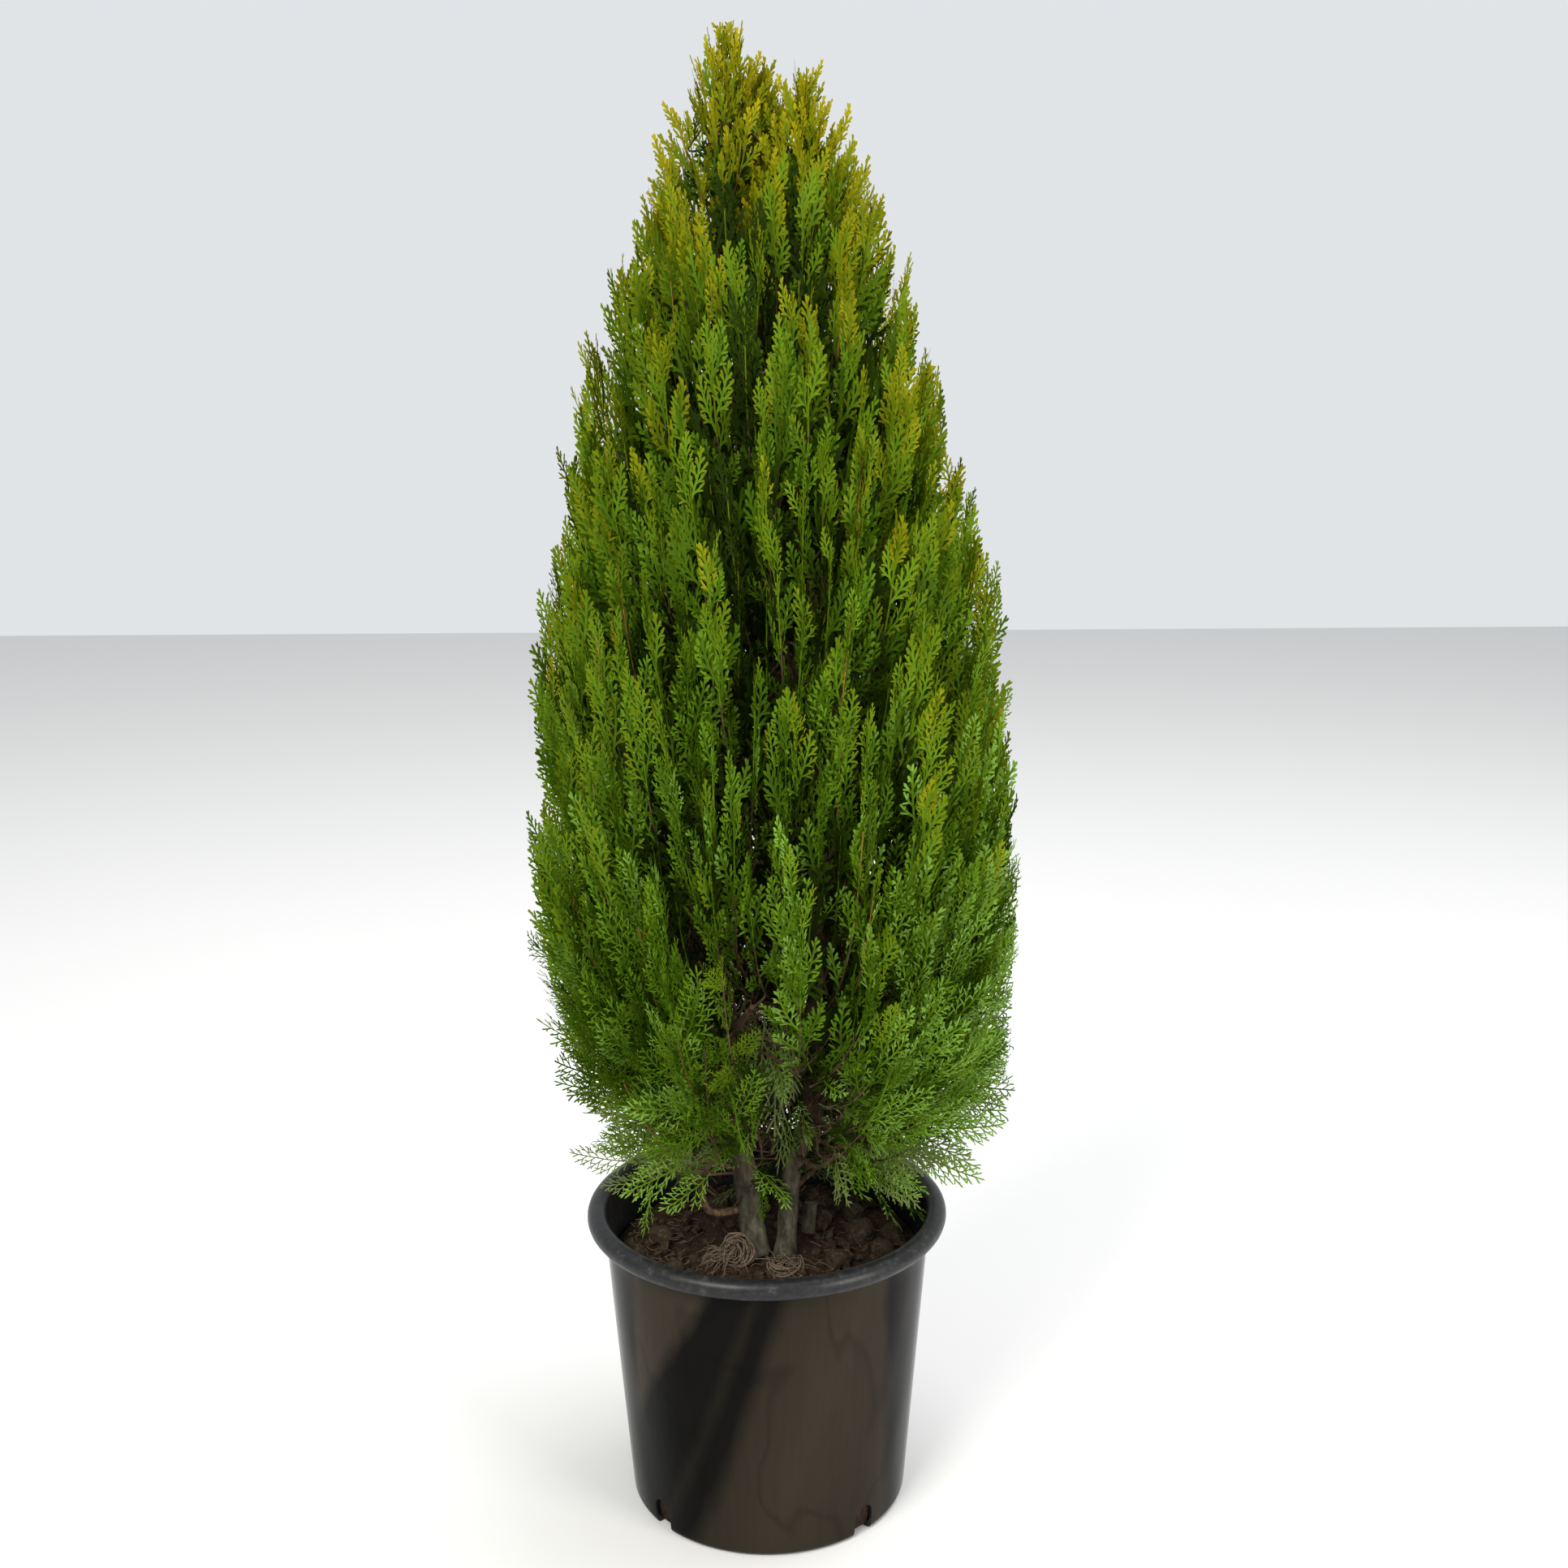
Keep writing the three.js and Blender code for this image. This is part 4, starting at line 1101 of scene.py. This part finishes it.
def settle(piece, material, slot, nodes=(), smooth=None):
    """Gives a finished piece its finish and its body, and hides the nodes that it stands for."""
    piece.data.materials.clear()
    piece.data.materials.append(material)
    if smooth is not None:
        select_only(piece)
        if smooth >= 180:
            bpy.ops.object.shade_smooth()
        else:
            bpy.ops.object.shade_smooth_by_angle(angle=math.radians(smooth))
    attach(piece, "root")
    if nodes:
        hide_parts(*nodes)


# ---- The nursery pot ----
_, pot_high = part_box("pot")
POT_HEIGHT = pot_high[2] / MM
RIM_RADIUS = 200
ROLL = 11
SHOULDER_RADIUS = 181
FOOT_RADIUS = 155
WALL = 3
FLOOR = 5
FOOT_ROUND = 8
DRAIN_SLOTS = 4
FIRST_SLOT = -0.84 - math.pi / 2
SIDES = 128
shoulder_height = POT_HEIGHT - 2 * ROLL


def wall_radius(height):
    return FOOT_RADIUS + (SHOULDER_RADIUS - FOOT_RADIUS) * height / shoulder_height


def soil_radius(height):
    return wall_radius(height) - WALL - 1.0


def nursery_pot():
    """A thin tapered wall with a rolled rim, a flat underside and drain slots through its foot."""
    profile = [(0, 0), (60, 0), (120, 0), (FOOT_RADIUS - FOOT_ROUND - 2, 0)]
    for i in range(1, 7):
        turn = i / 6 * math.pi / 2
        profile.append((wall_radius(FOOT_ROUND) - FOOT_ROUND * (1 - math.sin(turn)),
                        FOOT_ROUND * (1 - math.cos(turn))))
    for height in np.linspace(20, shoulder_height - 6, 14):
        profile.append((wall_radius(height), height))
    profile.append((wall_radius(shoulder_height) + 1.0, shoulder_height))
    middle = (RIM_RADIUS - ROLL, POT_HEIGHT - ROLL)
    for i in range(15):
        turn = -0.46 * math.pi + i / 14 * 1.44 * math.pi
        profile.append((middle[0] + ROLL * math.cos(turn), middle[1] + ROLL * math.sin(turn)))
    profile.append((wall_radius(shoulder_height) - WALL, shoulder_height - 2))
    for height in np.linspace(shoulder_height - 20, FLOOR + 6, 8):
        profile.append((wall_radius(height) - WALL, height))
    profile += [(wall_radius(FLOOR) - WALL - 4, FLOOR), (80, FLOOR), (0, FLOOR)]
    pot = turned("nursery_pot", profile, SIDES)
    for i in range(DRAIN_SLOTS):
        turn = FIRST_SLOT + i * FULL_TURN / DRAIN_SLOTS
        x, y, _ = FOOT_RADIUS * MM * level_way(turn)
        deselect()
        bpy.ops.mesh.primitive_cylinder_add(
            vertices=24, radius=0.0125, depth=0.044, rotation=(math.pi / 2, 0, turn + math.pi / 2),
            location=(x, y, 0.0235))
        arch = bpy.context.object
        bpy.ops.mesh.primitive_cube_add(
            size=1, rotation=(0, 0, turn + math.pi / 2), scale=(0.025, 0.044, 0.03),
            location=(x, y, 0.0085))
        slot_foot = bpy.context.object
        for cutter in (arch, slot_foot):
            apply_modifier(pot, "BOOLEAN", operation="DIFFERENCE", object=cutter, solver="EXACT")
            bpy.data.objects.remove(cutter)
    return pot


# ---- Potting soil ----
# How many small clods and scraps of litter there are, and how far out the scraps may reach
SMALL_CLODS, SCRAPS = ((380, 420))
LITTER_REACH = 168
# Relief of the soil's surface, and of its clods: size and strength in millimetres
SOIL_RELIEF = ((42, 16), (13, 11), (5, 6))
CLOD_RELIEF = ((16, 11), (5, 3.5))
# Large clods: place and radius in metres
LARGE_CLODS = [
    (0.104, 0.022, 0.290, 0.019), (0.078, -0.042, 0.290, 0.014), (0.128, -0.016, 0.289, 0.014),
    (0.142, 0.024, 0.290, 0.012), (0.092, -0.082, 0.289, 0.011), (0.062, 0.062, 0.290, 0.012),
    (-0.1, -0.055, 0.288, 0.011), (-0.12, 0.02, 0.290, 0.013), (-0.146, -0.02, 0.289, 0.012),
    (0.02, 0.11, 0.291, 0.016), (0.1, 0.07, 0.290, 0.013), (0.048, -0.128, 0.287, 0.009),
    (-0.06, 0.1, 0.290, 0.014), (0.124, -0.062, 0.288, 0.010), (-0.07, -0.12, 0.288, 0.009),
    (0.02, -0.142, 0.287, 0.008),
]


def potting_soil():
    """The soil that fills the pot, lumpy on top but nearly level round the stems and at the wall."""
    profile = [(0, FLOOR + 0.5), (soil_radius(FLOOR) - 3, FLOOR + 0.5)]
    profile += [(soil_radius(height), height) for height in (60, 160, 250)]
    profile.append((soil_radius(SOIL_LEVEL) - 0.5, SOIL_LEVEL - 6))
    profile += [(radius, SOIL_LEVEL) for radius in np.linspace(soil_radius(SOIL_LEVEL) - 5, 3, 44)]
    profile.append((0, SOIL_LEVEL))
    soil = turned("potting_soil", profile, 150)
    top = soil.vertex_groups.new(name="top")
    for vertex in soil.data.vertices:
        radius = math.hypot(vertex.co.x, vertex.co.y) / MM
        if vertex.co.z > (SOIL_LEVEL - 3) * MM:
            near_stems = np.clip((radius - 40) / 50, 0.15, 1)
            near_wall = np.clip((soil_radius(SOIL_LEVEL) - radius) / 12, 0.2, 1)
            top.add([vertex.index], float(near_stems * near_wall), "REPLACE")
    for size, strength in SOIL_RELIEF:
        push(soil, size, strength, depth=3, texture_coords="LOCAL", direction="Z", vertex_group="top")
    return soil


def soil_clods():
    """Clods and crumbs on the soil, larger on the right."""
    rng = np.random.default_rng(5)
    deselect()
    for x, y, z, radius in LARGE_CLODS:
        bpy.ops.mesh.primitive_ico_sphere_add(subdivisions=2, radius=radius, location=(x, y, z))
        bpy.ops.object.mode_set(mode="EDIT")
    clods = bpy.context.object
    clods.name = "soil_clods"
    for _ in range(SMALL_CLODS):
        away = 0.030 + 0.132 * math.sqrt(rng.random())
        x, y, _ = away * level_way(rng.uniform(0, FULL_TURN))
        radius = rng.uniform(0.0018, 0.0075)
        bpy.ops.mesh.primitive_ico_sphere_add(
            subdivisions=1, radius=radius, rotation=tuple(rng.uniform(0, 3, 3)),
            location=(x, y, 0.2865 + rng.uniform(-0.002, 0.002)))
    bpy.ops.object.mode_set(mode="OBJECT")
    bpy.ops.object.transform_apply(location=True, rotation=True, scale=True)
    apply_modifier(clods, "SUBSURF", levels=1, render_levels=1)
    for size, strength in CLOD_RELIEF:
        push(clods, size, strength, texture_coords="LOCAL")
    return clods


def soil_litter():
    """Dry needles, scraps of root and fibres lying on the soil."""
    rng = np.random.default_rng(8)
    paths = []
    for _ in range(SCRAPS):
        away = 30 + 132 * math.sqrt(rng.random())
        start = away * level_way(rng.uniform(0, FULL_TURN)) + UP * (SOIL_LEVEL + 3.5)
        way = rng.uniform(0, FULL_TURN)
        length = rng.uniform(4, 17)
        end = start + np.array([math.cos(way), math.sin(way), rng.uniform(-0.05, 0.3)]) * length
        if math.hypot(end[0], end[1]) > LITTER_REACH:
            continue
        bend = (start + end) / 2 + rng.normal(0, 0.22, 3) * length
        bend[2] = max(bend[2], SOIL_LEVEL + 3)
        paths.append((arc(start, bend, end, 6), np.full(6, rng.uniform(0.25, 0.5))))
    return paths


# ---- Coils of root ----
STRAND_POINTS = 30
# Bundles of root: centre, with its height above the soil, radius of the curl, half its thickness,
# tilt, sweep and how many strands. The first two make the left coil, one on the other.
BUNDLES = [
    ((-37, -42, 18), 12.5, 7.5, (0.35, 1.15), (-2.3, 2.1), 14),
    ((-31, -37, 11), 12, 7.5, (-0.5, 0.6), (-1.2, 3.2), 11),
    ((20, -57, 9), 15, 7.0, (0.1, 0.35), (-2.9, -0.1), 14),
]


def coil_paths(centre, major, minor, tilt, sweep, strands, rng):
    """A curled bundle of roots: strands that lie side by side along the curl, some inside it."""
    centre = np.array(centre) + UP * SOIL_LEVEL
    a = level_way(tilt[0])
    b = unit(np.array([-math.sin(tilt[0]) * math.cos(tilt[1]), math.cos(tilt[0]) * math.cos(tilt[1]),
                       math.sin(tilt[1])]))
    c = np.cross(a, b)
    limbs = []
    for k in range(strands):
        first, last = sweep[0] - rng.uniform(0, 0.6), sweep[1] + rng.uniform(-0.4, 0.6)
        theta = np.linspace(first, last, STRAND_POINTS)[:, None]
        out = a * np.cos(theta) + b * np.sin(theta)
        swell = np.sin(np.linspace(0.3, math.pi - 0.25, STRAND_POINTS)) ** 0.5
        phase = k * GOLDEN_ANGLE + 0.5 * theta
        inside = rng.uniform(0.2, 0.62) if k % 3 == 0 else rng.uniform(0.78, 1.18)
        stray = np.sin(theta * rng.uniform(1.5, 4) + rng.uniform(0, 6, 3)) * rng.uniform(0.5, 2.0)
        round_curl = (out * np.cos(phase) + c * np.sin(phase)) * (swell * minor * inside)[:, None]
        path = centre + out * major + round_curl + stray
        path[:, 2] = np.maximum(path[:, 2], SOIL_LEVEL + 1.2)
        limbs.append((path, np.full(STRAND_POINTS, rng.uniform(0.6, 1.05))))
    return limbs


def root_coils():
    """The two dried coils of root in front of the stems."""
    rng = np.random.default_rng(21)
    return [strand for bundle in BUNDLES for strand in coil_paths(*bundle, rng)]


def stray_rootlets():
    """Loose ends of root that fan out from the two coils."""
    rng = np.random.default_rng(31)
    paths = []
    homes = [((-40, -44, SOIL_LEVEL + 16), math.pi, 60), ((16, -58, SOIL_LEVEL + 9), 0.6, 46)]
    for home, heading, count in homes:
        for _ in range(count):
            way = heading + rng.normal(0, 0.9)
            start = np.array(home) + rng.normal(0, 6, 3)
            end = start + level_way(way) * rng.uniform(14, 36)
            end[2] = SOIL_LEVEL + rng.uniform(2, 6)
            bend = (start + end) / 2 + np.array([rng.normal(0, 5), rng.normal(0, 5), rng.uniform(2, 12)])
            path = arc(start, bend, end, 9)
            path[:, 2] = np.maximum(path[:, 2], SOIL_LEVEL + 1.5)
            paths.append((path, np.linspace(0.7, 0.3, 9)))
    return paths


# ---- Make everything ----
foliage_nodes = [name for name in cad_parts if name.startswith("foliage_")]
bough_nodes = [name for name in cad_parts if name.startswith("bough_")]

bark = bark_finish()
twig_bark = mottled("twig_bark", (0.10, 0.05, 0.02), 0.8, 0.2, 260,
                    [(0.3, (0.028, 0.016, 0.009)), (0.55, (0.080, 0.048, 0.026)),
                     (0.75, (0.19, 0.12, 0.062))], bump=(0.6, 0.6), stretch=(1, 1, 0.4))
roots = mottled("dry_root_fibre", (0.24, 0.17, 0.11), 0.85, 0.2, 700,
                [(0.3, (0.048, 0.031, 0.019)), (0.55, (0.142, 0.107, 0.073)), (0.78, (0.30, 0.24, 0.17))],
                bump=(0.6, 0.4))
dry = mottled("dry_litter", (0.13, 0.075, 0.038), 0.9, 0.5, 150,
              [(0.3, (0.070, 0.040, 0.020)), (0.52, (0.13, 0.075, 0.038)), (0.75, (0.21, 0.135, 0.075))],
              bump=(0.4, 0.3), detail=3)
# The rolled rim is of the pot's plastic, scuffed to a satin
rim = mottled("satin_rim_plastic", (0.011, 0.0115, 0.012), 0.36, 0.22, 120,
              [(0.35, (0.0075, 0.0075, 0.0080)), (0.56, (0.014, 0.0145, 0.0155)),
               (0.74, (0.052, 0.050, 0.046))], bump=(0.25, 0.5), detail=6, rough=0.7)
dark_soil = soil_finish("potting_soil", (0.011, 0.006, 0.003), (0.031, 0.018, 0.010),
                        (0.075, 0.050, 0.030))
clod_soil = soil_finish("clod_soil", (0.014, 0.009, 0.005), (0.043, 0.030, 0.018),
                        (0.105, 0.082, 0.054))

pot = nursery_pot()
settle(pot, pot_finish(), "pot", ["pot"], smooth=34)
pot.data.materials.append(rim)
for face in pot.data.polygons:
    on_rim = face.center.z > (shoulder_height - 4) * MM
    inside_wall = math.hypot(face.center.x, face.center.y) < (wall_radius(face.center.z / MM) - 1) * MM
    face.material_index = 1 if on_rim or inside_wall else 0
settle(potting_soil(), dark_soil, "soil", ["soil"], smooth=180)
settle(soil_clods(), clod_soil, "soil", smooth=60)

for side, stem in STEMS.items():
    trunk = limb_mesh(f"bark_{side}", [(stem_paths[side], stem_radii(stem) - 0.6)], 26)
    relief(trunk, 9, 7, 4.2)
    relief(trunk, 3.2, 9, 1.6)
    settle(trunk, bark, "bark", [f"stem_{side}"], smooth=60)

stub_path = arc(np.array([46, 36, SOIL_LEVEL + 1]), np.array([48, 38, SOIL_LEVEL + 18]),
                np.array([50, 40, SOIL_LEVEL + 34]), 14)
stub = limb_mesh("bark_stub", [(stub_path, np.linspace(8.5, 7.0, len(stub_path)))], 20)
relief(stub, 5, 6, 1.6)
settle(stub, bark, "bark", ["stub_right"], smooth=50)

boughs = limb_mesh("bough_bark", [(mass["path"][1:], mass["radii"][1:]) for mass in masses], 12)
relief(boughs, 4, 3, 1.2)
settle(boughs, twig_bark, "twig", bough_nodes, smooth=60)

coils = limb_mesh("root_coils", root_coils(), 8)
settle(coils, roots, "root", ["root_coil_left", "root_coil_right"], smooth=60)
rootlets = mesh_piece("stray_rootlets", *tube_mesh(stray_rootlets(), 4))
settle(rootlets, roots, "root", smooth=180)
litter = mesh_piece("soil_litter", *tube_mesh(soil_litter(), 4))
settle(litter, dry, "root", smooth=180)

twigs = mesh_piece("twigs", *tube_mesh(twig_paths, 3))
settle(twigs, twig_bark, "twig", foliage_nodes, smooth=180)

TRIANGLES_A_PIECE = 190000
for kind, (quads, pentagons) in by_kind.items():
    colour, slot = LEAF_COLOURS[kind]
    material = leaf_finish(f"scale_leaves_{kind}", colour)
    quads, pentagons = np.concatenate(quads), np.concatenate(pentagons)
    parts = math.ceil((2 * len(quads) + 3 * len(pentagons)) / TRIANGLES_A_PIECE)
    shared_out = zip(np.array_split(quads, parts), np.array_split(pentagons, parts))
    for part, (some, others) in enumerate(shared_out):
        points = np.concatenate([some.reshape(-1, 3), others.reshape(-1, 3)])
        sizes = np.concatenate([np.full(len(some), 4), np.full(len(others), 5)])
        piece = mesh_piece(f"leaves_{kind}_{part + 1}", points, np.arange(len(points)), sizes)
        settle(piece, material, slot)

# ---- Stage: floor, light and camera ----
deselect()
bpy.ops.mesh.primitive_plane_add(size=14, location=(0, 0, 0))
floor = bpy.context.object
floor.name = "floor"
floor.data.materials.append(finish("pale_floor", (0.62, 0.62, 0.615), 0.9))

world = bpy.context.scene.world or bpy.data.worlds.new("studio")
bpy.context.scene.world = world
world.use_nodes = True
sky = world.node_tree.nodes["Background"]
sky.inputs["Color"].default_value = (0.94, 0.97, 1.0, 1)
sky.inputs["Strength"].default_value = 0.8


def softbox(name, place, aim, width, height, watts, colour=(1, 1, 1)):
    """A rectangular lamp that faces the point it is aimed at."""
    deselect()
    bpy.ops.object.light_add(type="AREA", location=place)
    lamp = bpy.context.object
    lamp.name = name
    lamp.data.shape = "RECTANGLE"
    lamp.data.size = width
    lamp.data.size_y = height
    lamp.data.energy = watts
    lamp.data.color = colour
    z_axis = -unit(np.array(aim) - np.array(place))
    x_axis = unit(np.cross(UP, z_axis))
    way = Matrix((x_axis, np.cross(z_axis, x_axis), z_axis)).transposed()
    lamp.matrix_world = Matrix.Translation(place) @ way.to_4x4()


softbox("key_light", (-2.2, -3.4, 4.2), (0, 0, 0.8), 2.4, 2.4, 300, (1.0, 0.97, 0.9))
softbox("top_light", (1.2, 0.6, 5.0), (0, 0, 0.8), 2.8, 2.8, 170)
softbox("fill_light", (3.2, -2.6, 1.6), (0, 0, 0.5), 1.6, 2.4, 140, (1.0, 0.96, 0.9))

# Place in metres, and how far it looks down and rolls in radians
CAMERA_PLACE, LOOKING_DOWN, CAMERA_ROLL = (0.022, -1.887, 1.247), 0.223, -0.006
deselect()
bpy.ops.object.camera_add(location=(0, 0, 0))
camera = bpy.context.object
camera.name = "camera"
camera.data.lens = 41.87
camera.data.sensor_width = 36
camera.data.clip_end = 30
camera.matrix_world = (Matrix.Translation(CAMERA_PLACE)
                       @ Matrix.Rotation(math.pi / 2 - LOOKING_DOWN, 4, "X")
                       @ Matrix.Rotation(CAMERA_ROLL, 4, "Z"))
bpy.context.scene.camera = camera
bpy.context.scene.view_settings.view_transform = "Standard"
